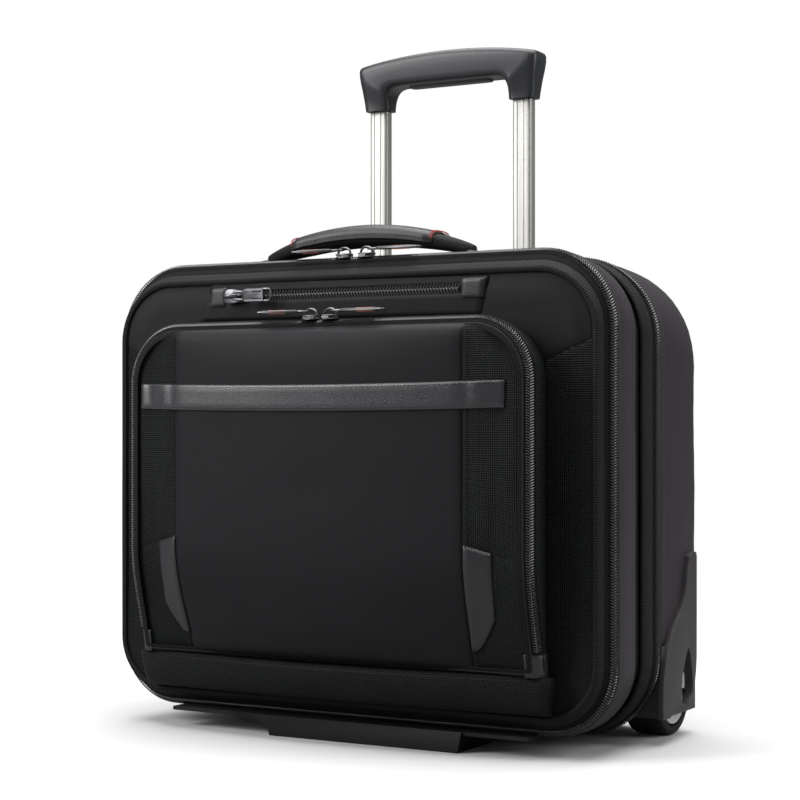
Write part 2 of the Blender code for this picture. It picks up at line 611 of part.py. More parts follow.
# ---- front pocket -----------------------------------------------------------------------------------
def fullness(z):
    """0 at the pocket's foot, 1 above its lower third, with a smooth change between."""
    t = min(max((z - 0.050) / 0.095, 0.0), 1.0)
    return t * t * (3.0 - 2.0 * t)


def pocket_edge(z):
    """How far behind the front panel plane the pocket face's edge lies; negative is in front."""
    return -(0.020 + 0.023 * fullness(z))


def pocket_zip(z):
    return -(0.0175 + 0.0160 * fullness(z))


def pocket_face_at(x, z):
    """The pocket face's surface: a crowned middle panel, and side panels that fall back to the zipper."""
    across = min(abs(x) / POCKET_CROWN_X, 1.0)
    crown = 0.005 + 0.012 * (1.0 - fullness(z))
    up = min(max((z - POCKET_LOW) / 0.03, 0.0), 1.0) * min(max((POCKET_HIGH - z) / 0.03, 0.0), 1.0)
    middle = pocket_edge(z) - crown * (1.0 - across * across) * (0.5 + 0.5 * up)
    beyond = (abs(x) - POCKET_SEAM_X) / (POCKET_HALF_WIDTH - POCKET_SHOULDER - POCKET_SEAM_X)
    slope = 1.0 - (1.0 - min(max(beyond, 0.0), 1.0)) ** 2
    return middle * (1.0 - slope) + (pocket_zip(z) - 0.0016) * slope


def pocket_loop(inset, depth):
    points = rounded_outline(POCKET_HALF_WIDTH - inset, POCKET_LOW + inset, POCKET_HIGH - inset,
                             max(POCKET_LOW_RADIUS - inset, 0.002), POCKET_TOP_RADIUS - inset,
                             steps=POCKET_STEPS, sides=POCKET_SIDES, ends=POCKET_ENDS)
    return [world(x, depth(z), z) for x, z in points]


def make_pocket_gusset():
    """The pocket's side wall, from the front panel to the pocket's zipper."""
    loops = [pocket_loop(0.0050, lambda z: -GAP), pocket_loop(0.0015, lambda z: 0.5 * pocket_zip(z)),
             pocket_loop(0.0003, lambda z: pocket_zip(z) + 0.0036)]
    add_solidify(new_part("pocket_gusset", loft(loops, caps=False), "front_panel", "woven_fabric"), 0.0022)
    rear = [pocket_loop(i, lambda z, d=d: pocket_zip(z) + d)
            for i, d in ((0.0, 0.0032), (0.0, GAP), (0.0050, GAP), (0.0050, 0.0032))]
    new_part("pocket_zipper_rear_tape", loft(rear, ring=True), "front_panel", "zipper")


def make_pocket_flap():
    front = [pocket_loop(i, lambda z, d=d: pocket_zip(z) + d)
             for i, d in ((0.0, -GAP), (0.0, -0.0030), (0.0050, -0.0030), (0.0050, -GAP))]
    new_part("pocket_zipper_front_tape", loft(front, ring=True), "pocket_flap", "zipper")
    loops = [pocket_loop(0.0054, lambda z: pocket_zip(z) - 0.0008),
             pocket_loop(0.0062, lambda z: pocket_zip(z) - 0.0014),
             [world(p.x, pocket_face_at(p.x, p.z), p.z) for p in pocket_loop(POCKET_SHOULDER, pocket_edge)]]
    bm = loft(loops, caps=False)
    # The flat of the face is a grid: each row joins a point of the right side to its left twin.
    bm.verts.ensure_lookup_table()
    edge = list(bm.verts)[-len(loops[-1]):]
    right_count = 2 * (POCKET_STEPS + 1) + len(POCKET_SIDES)
    columns = len(POCKET_ENDS)
    right = edge[:right_count]
    top = edge[right_count:right_count + columns]
    left = edge[right_count + columns:2 * right_count + columns]
    low = edge[2 * right_count + columns:]
    rows = [[left[-1]] + low + [right[0]]]
    for a, b in list(zip(left[::-1], right))[1:-1]:
        inner = []
        for t in POCKET_ENDS:
            x, z = a.co.x * (1 - t) + b.co.x * t, a.co.z
            inner.append(bm.verts.new(world(x, pocket_face_at(x, z), z)))
        rows.append([a] + inner + [b])
    rows.append([left[0]] + top[::-1] + [right[-1]])
    for below, above in zip(rows, rows[1:]):
        for i in range(columns + 1):
            bm.faces.new((below[i], below[i + 1], above[i + 1], above[i]))
    add_solidify(new_part("pocket_face", bm, "pocket_flap", "smooth_fabric"), WALL)


def surface_patch(name, rows, lift, thickness, body, material):
    """A leather piece lying on the pocket face; rows hold equally many (x, z) points."""
    bm = bmesh.new()
    grid = [[bm.verts.new(world(x, pocket_face_at(x, z) - lift, z)) for x, z in row] for row in rows]
    for low, high in zip(grid, grid[1:]):
        for i in range(len(low) - 1):
            bm.faces.new((low[i], low[i + 1], high[i + 1], high[i]))
    for face in bm.faces:
        face.normal_update()
    part = new_part(name, bm, body, material)
    facing_back = part.data.polygons[0].normal.y > 0
    return add_solidify(part, thickness, outward=not facing_back)


def make_pocket_trims():
    """The leather stripe across the face, and a leather tab on each lower corner."""
    reach = POCKET_HALF_WIDTH - POCKET_SHOULDER
    ends = (STRIPE_HALF_LENGTH / reach,)
    columns = sorted({sign * reach * t for sign in (-1, 1)
                      for t in ends + tuple(2.0 * t - 1.0 for t in POCKET_ENDS if t >= 0.5)})
    rows = [[(x, STRIPE_LOW + 0.0021 * (x / reach) ** 2 + STRIPE_HEIGHT * t) for x in columns]
            for t in (0.0, 0.5, 1.0)]
    surface_patch("leather_stripe", rows, 0.0007, 0.0012, "pocket_flap", "leather")
    heights = [TAB_LOW + TAB_HEIGHT * i / 9.0 for i in range(10)]
    for side in (-1, 1):
        rows = []
        for z in heights:
            t = (z - TAB_LOW) / TAB_HEIGHT
            inner = POCKET_SEAM_X + 0.0005
            outer = inner + 0.0015 + (TAB_WIDTH - 0.0015) * min(1.0, 3.2 * t) ** 0.6
            rows.append([(side * (inner + (outer - inner) * k / 3.0), z) for k in range(4)])
        surface_patch("pocket_corner_tab_" + side_name(side), rows, 0.0009, 0.0011, "pocket_flap", "leather")


# ---- trolley grip -----------------------------------------------------------------------------------
def grip_outline():
    """Front view of the grip's right half, from the middle of its underside round to its top."""
    inner_x, outer_x = 0.0560, GRIP_HALF_WIDTH
    half = [(0.0, GRIP_UNDERSIDE)]
    half += arc(inner_x - 0.010, GRIP_UNDERSIDE - 0.010, 0.010, 90, 0, 4)
    half += [(inner_x - 0.0005, GRIP_LOW), (0.0785, GRIP_LOW), (0.0805, 0.5100)]
    half += arc(outer_x - 0.009, 0.5290, 0.009, 0, 75, 4)
    half += [(x, GRIP_TOP - 0.0078 * (x / outer_x) ** 2) for x in (0.060, 0.040, 0.020)]
    half.append((0.0, GRIP_TOP))
    mirrored = [(-x, z) for x, z in half[1:-1]]
    return half + mirrored[::-1]


def make_grip():
    low, high = TUBE_BEHIND - GRIP_DEPTH / 2, TUBE_BEHIND + GRIP_DEPTH / 2
    grip = new_part("trolley_grip", prism(grip_outline(), low, high, "Y"), "trolley_upper", "grip_plastic")
    bevel = grip.modifiers.new("round_edges", "BEVEL")
    bevel.width = 0.004
    bevel.segments = 3
    bevel.limit_method = "ANGLE"
    bevel.angle_limit = math.radians(60)
    slot = box((-BUTTON_HALF_WIDTH - 0.0005, TUBE_BEHIND - 0.0060, 0.510),
               (BUTTON_HALF_WIDTH + 0.0005, TUBE_BEHIND + 0.0060, 0.5292))
    cut(grip, slot, "button_slot_cut")
    button = box((-BUTTON_HALF_WIDTH, TUBE_BEHIND - 0.0055, 0.5168),
                 (BUTTON_HALF_WIDTH, TUBE_BEHIND + 0.0055, 0.5240), 0.0012)
    new_part("grip_release_button", button, "grip_button", "housing_plastic")


# ---- zipper sliders and pulls -----------------------------------------------------------------------
def make_sliders():
    """Each slider rides its zipper, and its pull turns on a bridge at the slider's front end."""
    for name, (parent, place, along, out, scale, pull_length) in SLIDERS.items():
        t, n = Vector(along), Vector(out)
        w = n.cross(t)
        spot = world(*place) + n * 0.0004

        def at(a, b, c):
            return spot + t * (a * scale) + w * (b * scale) + n * (c * scale)

        half, wide, tall = SLIDER_HALF_LENGTH, SLIDER_HALF_WIDTH, SLIDER_HEIGHT
        side_view = [(-half, 0.0004), (-half + 0.0004, 0.0), (half - 0.0004, 0.0), (half, 0.0004),
                     (half, 0.0028), (half - 0.0010, 0.0034), (0.0052, 0.0034), (0.0040, tall),
                     (-0.0030, tall), (-0.0045, 0.0034), (-half + 0.0010, 0.0034), (-half, 0.0028)]
        body = loft([[at(a, -wide, c) for a, c in side_view], [at(a, wide, c) for a, c in side_view]])
        hinge = at(PULL_HINGE_ALONG, 0.0, PULL_HINGE_HEIGHT)
        add_pivot(name, parent, place)
        new_part(name, body, name, "slider_metal")
        pull_name = name.replace("slider", "pull")
        add_pivot(pull_name, name, (hinge.x, hinge.y + DEPTH_SHIFT, hinge.z))
        near, far = PULL_HINGE_ALONG - 0.0011, PULL_HINGE_ALONG + pull_length
        flat = [(near, -0.0022), (near + 0.008, -0.0026), (near + 0.011, -PULL_HALF_WIDTH),
                (far - 0.0015, -PULL_HALF_WIDTH), (far, -PULL_HALF_WIDTH + 0.0015)]
        flat += [(a, -b) for a, b in flat[::-1]]
        low, high = (PULL_HINGE_HEIGHT + s * PULL_HALF_THICKNESS for s in (-1, 1))
        pull = loft([[at(a, b, low) for a, b in flat], [at(a, b, high) for a, b in flat]])
        new_part(pull_name, pull, pull_name, "slider_metal")


def main():
    clear_scene()
    make_materials()
    make_pivots()
    make_rear_shell()
    make_case_zipper()
    make_trolley_cover()
    make_trolley_tubes()
    make_trolley_bezel()
    make_trolley_bracket()
    make_wheel_housings()
    make_wheels()
    make_front_section()
    make_base()
    make_laptop_sleeve()
    make_carry_handle()
    make_front_panel()
    make_bottom_strip()
    make_pocket_gusset()
    make_pocket_flap()
    make_pocket_trims()
    make_grip()
    make_sliders()
    bpy.context.view_layer.update()


main()
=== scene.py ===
import bisect
import json
import math

import bmesh
import bpy
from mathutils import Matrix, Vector, noise


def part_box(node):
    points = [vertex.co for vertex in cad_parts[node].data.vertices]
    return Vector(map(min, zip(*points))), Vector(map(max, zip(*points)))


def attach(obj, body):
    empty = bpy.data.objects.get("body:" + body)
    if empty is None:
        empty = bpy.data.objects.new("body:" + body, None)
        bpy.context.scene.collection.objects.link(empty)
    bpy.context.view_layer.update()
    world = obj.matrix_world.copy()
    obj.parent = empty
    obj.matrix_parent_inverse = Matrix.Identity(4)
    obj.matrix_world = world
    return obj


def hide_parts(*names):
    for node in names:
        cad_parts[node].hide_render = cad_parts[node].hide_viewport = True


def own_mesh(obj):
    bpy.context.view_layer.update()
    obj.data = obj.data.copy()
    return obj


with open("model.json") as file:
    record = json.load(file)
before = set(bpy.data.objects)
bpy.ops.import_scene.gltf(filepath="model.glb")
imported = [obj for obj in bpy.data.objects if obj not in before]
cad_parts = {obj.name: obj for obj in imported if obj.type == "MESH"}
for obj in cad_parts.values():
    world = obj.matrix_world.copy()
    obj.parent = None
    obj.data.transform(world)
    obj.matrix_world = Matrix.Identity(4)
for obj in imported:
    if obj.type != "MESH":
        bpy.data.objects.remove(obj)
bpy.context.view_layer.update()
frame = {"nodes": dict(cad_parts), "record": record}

MM = 0.001

# ---- places that everything else is worked out from ---------------------------------------------
ORGANIZER_LOW, ORGANIZER_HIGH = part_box("organizer_zipper_rear_tape")
MAIN_LOW, MAIN_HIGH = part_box("main_zipper_rear_tape")
SHELL_LOW, SHELL_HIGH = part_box("rear_shell")
POCKET_LOW, POCKET_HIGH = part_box("pocket_zipper_front_tape")
TAPE_GAP = 0.0003                       # half the gap between the two tapes of a zipper round the body
FRONT_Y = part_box("front_panel_board")[0].y - 0.0006     # the front panel's plane; depths below are behind it
ZIP_ONE = ORGANIZER_LOW.y - TAPE_GAP - FRONT_Y
ZIP_TWO = MAIN_LOW.y - TAPE_GAP - FRONT_Y
SECTION_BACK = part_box("front_section_shell")[1].y - FRONT_Y
BACK = SHELL_HIGH.y - FRONT_Y
BACK_EDGE = 22.5 * MM                   # the radius of the shell's round back edge
BACK_SEAM_X, BACK_SEAM_Z = 0.108, 0.300
WHEEL_CORNER_X, WHEEL_CORNER_TOP = 0.1687, 0.0738
TUBE_X, CHANNEL_HALF_DEPTH, TUBE_WALL = 0.067, 8.0 * MM, 1.1 * MM
SLOT_HALF, SLOT_ABOVE = (11.6 * MM, 8.6 * MM), 0.33     # openings for the tubes in the shell's top
QUILT_PITCH = 0.0445
PANEL_SEAM = ((0.2026, 0.2977), (0.1490, 0.2740))       # from the piping in to the pocket, each side
PANEL_SEAM_FROM_X, PANEL_MIDDLE_Z = 0.10, 0.2523        # further in it is level, behind the pocket
UPPER_POCKET = ((-0.1215, 0.3476), (-0.1320, 0.3175), (0.1180, 0.3161), (0.1236, 0.3450))
POCKET_SHAPE = (POCKET_HIGH.x, POCKET_LOW.z, POCKET_HIGH.z, 0.010, 0.045)
SHOULDER = 13.0 * MM                    # the width of the pocket face's rounded edge
SEAM_X = 0.1240                         # the seams beside the pocket's centre panel
COIL_ABOVE = 0.078                      # the pocket's coils end here, under the leather zip ends
HANDLE_Z, HANDLE_HALF = 0.3668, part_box("carry_handle_core")[1].x
SLIDER_LENGTH = 13.6 * MM
HINGE_HEIGHT = 6.4                      # in the slider's own millimetres
FORWARD, UP = Vector((0.0, -1.0, 0.0)), Vector((0.0, 0.0, 1.0))

# Each slider's direction, the way out of the cloth, and whether its pull has a coloured inlay.
SLIDERS = {
    "organizer_slider_left": ((-1, 0, 0), (0, 0, 1), True),
    "organizer_slider_right": ((1, 0, 0), (0, 0, 1), True),
    "pocket_slider_left": ((-1, 0, 0), (0, 0, 1), True),
    "pocket_slider_right": ((1, 0, 0), (0, 0, 1), True),
    "upper_pocket_slider": ((1, 0, 0), (0, -1, 0), False),
    "main_slider_left": ((-1, 0, 0), (0, 0, 1), False),
    "main_slider_right": ((1, 0, 0), (0, 0, 1), False),
}

# The body's outline at five depths: behind, half width, low, high, low radius, high radius.
STATIONS = (
    (0.0, ORGANIZER_HIGH.x - 3.4 * MM, ORGANIZER_LOW.z + 5.9 * MM, ORGANIZER_HIGH.z - 8.8 * MM, 0.046, 0.051),
    (ZIP_ONE, ORGANIZER_HIGH.x, ORGANIZER_LOW.z, ORGANIZER_HIGH.z, 0.050, 0.057),
    (ZIP_TWO, MAIN_HIGH.x, MAIN_LOW.z, MAIN_HIGH.z, 0.060, 0.064),
    (BACK - BACK_EDGE, MAIN_HIGH.x, MAIN_LOW.z, MAIN_HIGH.z - 0.5 * MM, 0.070, 0.076),
    (BACK, MAIN_HIGH.x - 1.0 * MM, MAIN_LOW.z + 1.2 * MM, MAIN_HIGH.z - 1.5 * MM, 0.080, 0.085),
)


def place(x, behind, z):
    return Vector((x, FRONT_Y + behind, z))


def add_object(name, data):
    added = bpy.data.objects.new(name, data)
    bpy.context.scene.collection.objects.link(added)
    return added


# ---- materials ----------------------------------------------------------------------------------
class Nodes:
    """A short way to add and link shader nodes."""

    def __init__(self, name):
        self.material = bpy.data.materials.new(name)
        self.material.use_nodes = True
        self.tree = self.material.node_tree
        self.shader = self.tree.nodes["Principled BSDF"]

    def add(self, kind, **values):
        node = self.tree.nodes.new(kind)
        for key, value in values.items():
            setattr(node, key, value)
        return node

    def link(self, source, target):
        self.tree.links.new(source, target)

    def math(self, operation, first, second=None):
        node = self.add("ShaderNodeMath", operation=operation)
        for socket, value in zip(node.inputs, (first, second)):
            if value is None:
                continue
            if isinstance(value, (int, float)):
                socket.default_value = value
            else:
                self.link(value, socket)
        return node.outputs[0]

    def noise(self, vector, scale, detail=3.0, roughness=0.5):
        node = self.add("ShaderNodeTexNoise")
        node.inputs["Scale"].default_value = scale
        node.inputs["Detail"].default_value = detail
        node.inputs["Roughness"].default_value = roughness
        self.link(vector, node.inputs["Vector"])
        return node.outputs["Fac"]

    def ramp(self, factor, low, high):
        node = self.add("ShaderNodeMapRange")
        self.link(factor, node.inputs["Value"])
        node.inputs["From Min"].default_value, node.inputs["From Max"].default_value = low
        node.inputs["To Min"].default_value, node.inputs["To Max"].default_value = high
        return node.outputs["Result"]

    def colour(self, factor, colour, dark, light):
        """Goes from the colour times dark to the colour times light."""
        node = self.add("ShaderNodeMix", data_type="RGBA")
        self.link(factor, node.inputs["Factor"])
        node.inputs["A"].default_value = (*(c * dark for c in colour), 1.0)
        node.inputs["B"].default_value = (*(c * light for c in colour), 1.0)
        self.link(node.outputs["Result"], self.shader.inputs["Base Color"])

    def roughness(self, factor, smoothest, roughest):
        self.link(self.ramp(factor, (0.3, 0.7), (smoothest, roughest)), self.shader.inputs["Roughness"])

    def bump(self, height, distance):
        node = self.add("ShaderNodeBump")
        node.inputs["Distance"].default_value = distance
        self.link(height, node.inputs["Height"])
        self.link(node.outputs["Normal"], self.shader.inputs["Normal"])

    def set(self, **values):
        for key, value in values.items():
            self.shader.inputs[key.replace("_", " ")].default_value = value


def uv_and_object(nodes):
    texture = nodes.add("ShaderNodeTexCoord")
    split = nodes.add("ShaderNodeSeparateXYZ")
    nodes.link(texture.outputs["UV"], split.inputs[0])
    return split.outputs["X"], split.outputs["Y"], texture.outputs["Object"]


def fabric(name, colour, pitch, height, roughness, sheen, diagonal=True, variation=0.25, specular=0.35):
    """A woven cloth: crossing yarns at the given pitch on UVs in metres, with slow colour changes."""
    n = Nodes(name)
    u, v, solid = uv_and_object(n)
    wave = 2.0 * math.pi / pitch
    if diagonal:
        first = n.math("SINE", n.math("MULTIPLY", n.math("ADD", u, v), wave * 0.7071))
        second = n.math("SINE", n.math("MULTIPLY", n.math("SUBTRACT", u, v), wave * 0.7071))
    else:
        first = n.math("SINE", n.math("MULTIPLY", u, wave))
        second = n.math("SINE", n.math("MULTIPLY", v, wave))
    weave = n.math("MULTIPLY", first, second)
    yarn = n.ramp(weave, (-1.0, 1.0), (0.0, 1.0))
    slow = n.noise(solid, 28.0, 4.0, 0.6)
    grain = n.noise(solid, 1400.0, 2.0)
    shade = n.math("ADD", n.math("MULTIPLY", yarn, 0.45), n.math("MULTIPLY", slow, 0.55))
    n.colour(shade, colour, 1.0 - variation, 1.0 + variation)
    n.roughness(grain, roughness - 0.06, roughness + 0.06)
    n.bump(n.math("ADD", weave, n.math("MULTIPLY", grain, 0.5)), height)
    n.set(Sheen_Weight=sheen, Sheen_Roughness=0.45, Specular_IOR_Level=specular)
    n.shader.inputs["Sheen Tint"].default_value = (0.75, 0.78, 0.85, 1.0)
    return n.material


def ribbed(name, colour, pitch, height, roughness, sheen):
    """Webbing with ribs across its length."""
    n = Nodes(name)
    u, v, solid = uv_and_object(n)
    rib = n.math("SINE", n.math("MULTIPLY", u, 2.0 * math.pi / pitch))
    cross = n.math("SINE", n.math("MULTIPLY", v, 2.0 * math.pi / (pitch * 1.1)))
    knit = n.math("ADD", rib, n.math("MULTIPLY", cross, 0.35))
    slow = n.noise(solid, 40.0)
    shade = n.math("ADD", n.math("MULTIPLY", n.ramp(knit, (-1.3, 1.3), (0.0, 1.0)), 0.6),
                   n.math("MULTIPLY", slow, 0.4))
    n.colour(shade, colour, 0.6, 1.45)
    n.bump(knit, height)
    n.set(Roughness=roughness, Sheen_Weight=sheen, Sheen_Roughness=0.5, Specular_IOR_Level=0.35)
    return n.material


def leather(name, colour, roughness, coat=0.0):
    """Fine pebbled leather with faint creases."""
    n = Nodes(name)
    _, _, solid = uv_and_object(n)
    pebble = n.add("ShaderNodeTexVoronoi")
    pebble.inputs["Scale"].default_value = 1300.0
    n.link(solid, pebble.inputs["Vector"])
    crease = n.noise(solid, 120.0, 5.0, 0.65)
    slow = n.noise(solid, 22.0, 3.0)
    shade = n.math("ADD", n.math("MULTIPLY", slow, 0.6), n.math("MULTIPLY", crease, 0.4))
    n.colour(shade, colour, 0.78, 1.22)
    n.roughness(crease, roughness - 0.08, roughness + 0.08)
    n.bump(n.math("ADD", n.math("MULTIPLY", pebble.outputs["Distance"], 0.7), crease), 0.00022)
    n.set(Specular_IOR_Level=0.45, Coat_Weight=coat, Coat_Roughness=0.30)
    return n.material


def moulded(name, colour, roughness, grain_height, coat=0.0):
    """Injection moulded plastic with a spark-eroded grain and slightly worn, lighter patches."""
    n = Nodes(name)
    _, _, solid = uv_and_object(n)
    grain = n.noise(solid, 900.0, 3.0, 0.6)
    slow = n.noise(solid, 18.0, 4.0)
    n.colour(slow, colour, 0.85, 1.15)
    n.roughness(grain, roughness - 0.05, roughness + 0.07)
    n.bump(grain, grain_height)
    n.set(Coat_Weight=coat, Coat_Roughness=0.18)
    return n.material


def metal(name, colour, roughness, stretch):
    """Metal with fine brushing drawn out along one axis."""
    n = Nodes(name)
    _, _, solid = uv_and_object(n)
    mapping = n.add("ShaderNodeMapping")
    mapping.inputs["Scale"].default_value = stretch
    n.link(solid, mapping.inputs["Vector"])
    brushed = n.noise(mapping.outputs["Vector"], 600.0, 4.0, 0.7)
    n.colour(brushed, colour, 0.88, 1.10)
    n.roughness(brushed, roughness - 0.07, roughness + 0.09)
    n.bump(brushed, 0.00002)
    n.set(Metallic=1.0)
    return n.material


def rubber(name, colour):
    """Matt rubber with a little dust."""
    n = Nodes(name)
    _, _, solid = uv_and_object(n)
    dust = n.noise(solid, 60.0, 5.0, 0.7)
    fine = n.noise(solid, 1500.0)
    n.colour(dust, colour, 1.0, 1.9)
    n.bump(fine, 0.00008)
    n.set(Roughness=0.82)
    return n.material


MATERIALS = {
    "smooth": fabric("smooth nylon", (0.0102, 0.0089, 0.0113), 0.6 * MM, 0.010 * MM, 0.55, 0.04,
                     variation=0.12, specular=0.22),
    # painted light: the same smooth nylon as the front, coloured lighter on the side walls for the light that
    # falls on them
    "side": fabric("smooth nylon lightened as painted light", (0.0235, 0.0180, 0.0222), 0.6 * MM, 0.010 * MM, 0.50, 0.06,
                   variation=0.12),
    "woven": fabric("ballistic weave", (0.0056, 0.0066, 0.0072), 2.3 * MM, 0.26 * MM, 0.52, 0.01,
                    variation=0.9, specular=0.20),
    "piping": ribbed("ribbed piping", (0.0022, 0.0025, 0.0029), 1.7 * MM, 0.12 * MM, 0.70, 0.01),
    "tape": ribbed("zipper tape", (0.0018, 0.0018, 0.0021), 1.1 * MM, 0.06 * MM, 0.80, 0.01),
    "webbing": ribbed("handle webbing", (0.0045, 0.0045, 0.0052), 1.5 * MM, 0.12 * MM, 0.65, 0.03),
    "lining": fabric("lining cloth", (0.0450, 0.0460, 0.0500), 0.9 * MM, 0.02 * MM, 0.75, 0.10, False),
    "leather": leather("grained leather", (0.0270, 0.0275, 0.0310), 0.38, coat=0.2),
    "stripe": leather("satin stripe leather", (0.0300, 0.0310, 0.0360), 0.30, coat=0.8),
    "teeth": moulded("coil teeth", (0.0260, 0.0270, 0.0290), 0.22, 0.00001, coat=0.8),
    "bright_teeth": moulded("large coil teeth", (0.0700, 0.0710, 0.0740), 0.26, 0.00001, coat=0.6),
    "gunmetal": metal("gunmetal", (0.2000, 0.2000, 0.2100), 0.36, (1.0, 1.0, 1.0)),
    "aluminium": metal("brushed aluminium", (0.4900, 0.4850, 0.4650), 0.50, (1.0, 1.0, 0.02)),
    "steel": metal("turned steel", (0.5000, 0.5000, 0.5000), 0.30, (0.05, 1.0, 1.0)),
    "grip": moulded("satin grip", (0.0250, 0.0270, 0.0320), 0.38, 0.000001, coat=0.2),
    "housing": moulded("textured housing", (0.0540, 0.0490, 0.0540), 0.46, 0.00003),
    "foot": moulded("textured foot", (0.0088, 0.0083, 0.0102), 0.50, 0.00006),
    # the hub's own light grey, raised further as painted light for the light that barely reaches into the
    # wheel well
    "hub": moulded("grey hub lightened as painted light", (0.8000, 0.8000, 0.8050), 0.40, 0.00002),
    "tyre": rubber("tyre rubber", (0.0120, 0.0120, 0.0125)),
    "thread": ribbed("stitching thread", (0.0080, 0.0080, 0.0090), 0.8 * MM, 0.05 * MM, 0.70, 0.05),
    "red_thread": ribbed("red thread", (0.4500, 0.0450, 0.0420), 0.8 * MM, 0.05 * MM, 0.60, 0.1),
    "accent": rubber("pull accent", (0.6500, 0.2200, 0.1300)),
}

CAD_MATERIALS = {
    "smooth_fabric": "smooth", "woven_fabric": "woven", "piping_fabric": "piping", "leather": "leather",
    "zipper": "tape", "slider_metal": "gunmetal", "lining": "lining", "housing_plastic": "housing",
    "grip_plastic": "grip", "tube_aluminium": "aluminium", "tyre_rubber": "tyre", "hub_plastic": "hub",
    "steel": "steel",
}


def dress_cad_nodes():
    """Gives every CAD node that stays in view its procedural material."""
    slots = {entry["node"]: entry["material_slot"] for entry in frame["record"]["subparts"]}
    for name, node in frame["nodes"].items():
        node.data.materials.clear()
        node.data.materials.append(MATERIALS[CAD_MATERIALS[slots[name]]])
    for name in ("front_foot", "base_flange"):
        frame["nodes"][name].data.materials[0] = MATERIALS["foot"]


# ---- camera, lights and floor -------------------------------------------------------------------
FOCAL_PIXELS, FRAME_PIXELS, SENSOR = 1938.0, 800.0, 36.0
AZIMUTH = 30.0                          # degrees from straight in front
CAMERA_AT = Vector((0.763, -1.237 + FRONT_Y, 0.2395))
HORIZON_SHIFT = 0.0269
WORLD_LIGHT = 0.16                      # how strongly the white world lights the case
FLOOR_BOUNCE = 0.30                     # how light the floor is for all but the camera


def make_camera():
    data = bpy.data.cameras.new("camera")
    data.sensor_width = SENSOR
    data.lens = SENSOR * FOCAL_PIXELS / FRAME_PIXELS
    data.shift_y = HORIZON_SHIFT
    camera = add_object("camera", data)
    camera.location = CAMERA_AT
    camera.rotation_euler = (math.radians(90.0), 0.0, math.radians(AZIMUTH))
    bpy.context.scene.camera = camera


def make_light(name, at, towards, size, power):
    data = bpy.data.lights.new(name, "AREA")
    data.shape = "RECTANGLE"
    data.size, data.size_y = size
    data.energy = power
    light = add_object(name, data)
    light.location = at
    light.rotation_euler = (Vector(towards) - Vector(at)).to_track_quat("-Z", "Y").to_euler()


def make_floor_material():
    """White paper that fades into the white background away from the case."""
    n = Nodes("studio paper")
    n.set(Roughness=0.9, Specular_IOR_Level=0.1)
    n.shader.inputs["Base Color"].default_value = (0.90, 0.90, 0.90, 1.0)
    texture = n.add("ShaderNodeTexCoord")
    distance = n.add("ShaderNodeVectorMath", operation="LENGTH")
    n.link(texture.outputs["Object"], distance.inputs[0])
    fade = n.ramp(distance.outputs["Value"], (0.55, 1.30), (0.0, 1.0))
    glow = n.add("ShaderNodeEmission")
    glow.inputs["Color"].default_value = (1.0, 1.0, 1.0, 1.0)
    seamless = n.add("ShaderNodeMixShader")
    n.link(fade, seamless.inputs[0])
    n.link(n.shader.outputs[0], seamless.inputs[1])
    n.link(glow.outputs[0], seamless.inputs[2])
    dim = n.add("ShaderNodeBsdfDiffuse")
    dim.inputs["Color"].default_value = (FLOOR_BOUNCE, FLOOR_BOUNCE, FLOOR_BOUNCE, 1.0)
    rays = n.add("ShaderNodeLightPath")
    mixer = n.add("ShaderNodeMixShader")
    n.link(rays.outputs["Is Camera Ray"], mixer.inputs[0])
    n.link(dim.outputs[0], mixer.inputs[1])
    n.link(seamless.outputs[0], mixer.inputs[2])
    n.link(mixer.outputs[0], n.tree.nodes["Material Output"].inputs["Surface"])
    return n.material


def make_world():
    """White behind the object, dimmer where it lights the object."""
    world = bpy.data.worlds.new("studio")
    world.use_nodes = True
    tree = world.node_tree
    background = tree.nodes["Background"]
    background.inputs["Color"].default_value = (1.0, 1.0, 1.0, 1.0)
    rays = tree.nodes.new("ShaderNodeLightPath")
    strength = tree.nodes.new("ShaderNodeMapRange")
    tree.links.new(rays.outputs["Is Camera Ray"], strength.inputs["Value"])
    strength.inputs["To Min"].default_value = WORLD_LIGHT
    strength.inputs["To Max"].default_value = 1.0
    tree.links.new(strength.outputs["Result"], background.inputs["Strength"])
    bpy.context.scene.world = world
    bpy.context.scene.view_settings.view_transform = "Standard"


def make_stage():
    bm = bmesh.new()
    bmesh.ops.create_circle(bm, cap_ends=True, segments=64, radius=14.0)
    mesh = bpy.data.meshes.new("studio_floor")
    bm.to_mesh(mesh)
    bm.free()
    mesh.materials.append(make_floor_material())
    floor = add_object("studio_floor", mesh)
    make_world()
    make_light("top_soft", (0.0, 0.2, 2.4), (0.0, 0.2, 0.0), (2.6, 2.6), 84.0)
    make_light("key_right", (2.2, 0.5, 1.1), (0.1, 0.0, 0.22), (0.7, 1.6), 17.0)
    make_light("front_left", (-1.5, -1.7, 1.7), (0.0, 0.0, 0.25), (1.2, 1.2), 34.0)
    make_light("stripe_sheen", (-1.75, -2.0, 0.75), (-0.1, 0.0, 0.27), (0.5, 0.9), 9.0)


# ---- shapes shared with the CAD -----------------------------------------------------------------
def smooth_step(t):
    t = min(max(t, 0.0), 1.0)
    return t * t * (3.0 - 2.0 * t)


def mix(a, b, t):
    return a * (1.0 - t) + b * t


def span(start, end, steps):
    """Even steps from start to end, with both."""
    return [mix(start, end, i / steps) for i in range(steps + 1)]


def swell(from_edge, slope):
    """A padded edge: 0 at the edge, rising steeply to 1."""
    return min(1.0, (slope * max(from_edge, 0.0)) ** 0.5)


def wobble(x, y, z, scale, amount):
    """Slow, seedless unevenness of sewn cloth."""
    return amount * noise.noise(Vector((x, y, z)) * scale)


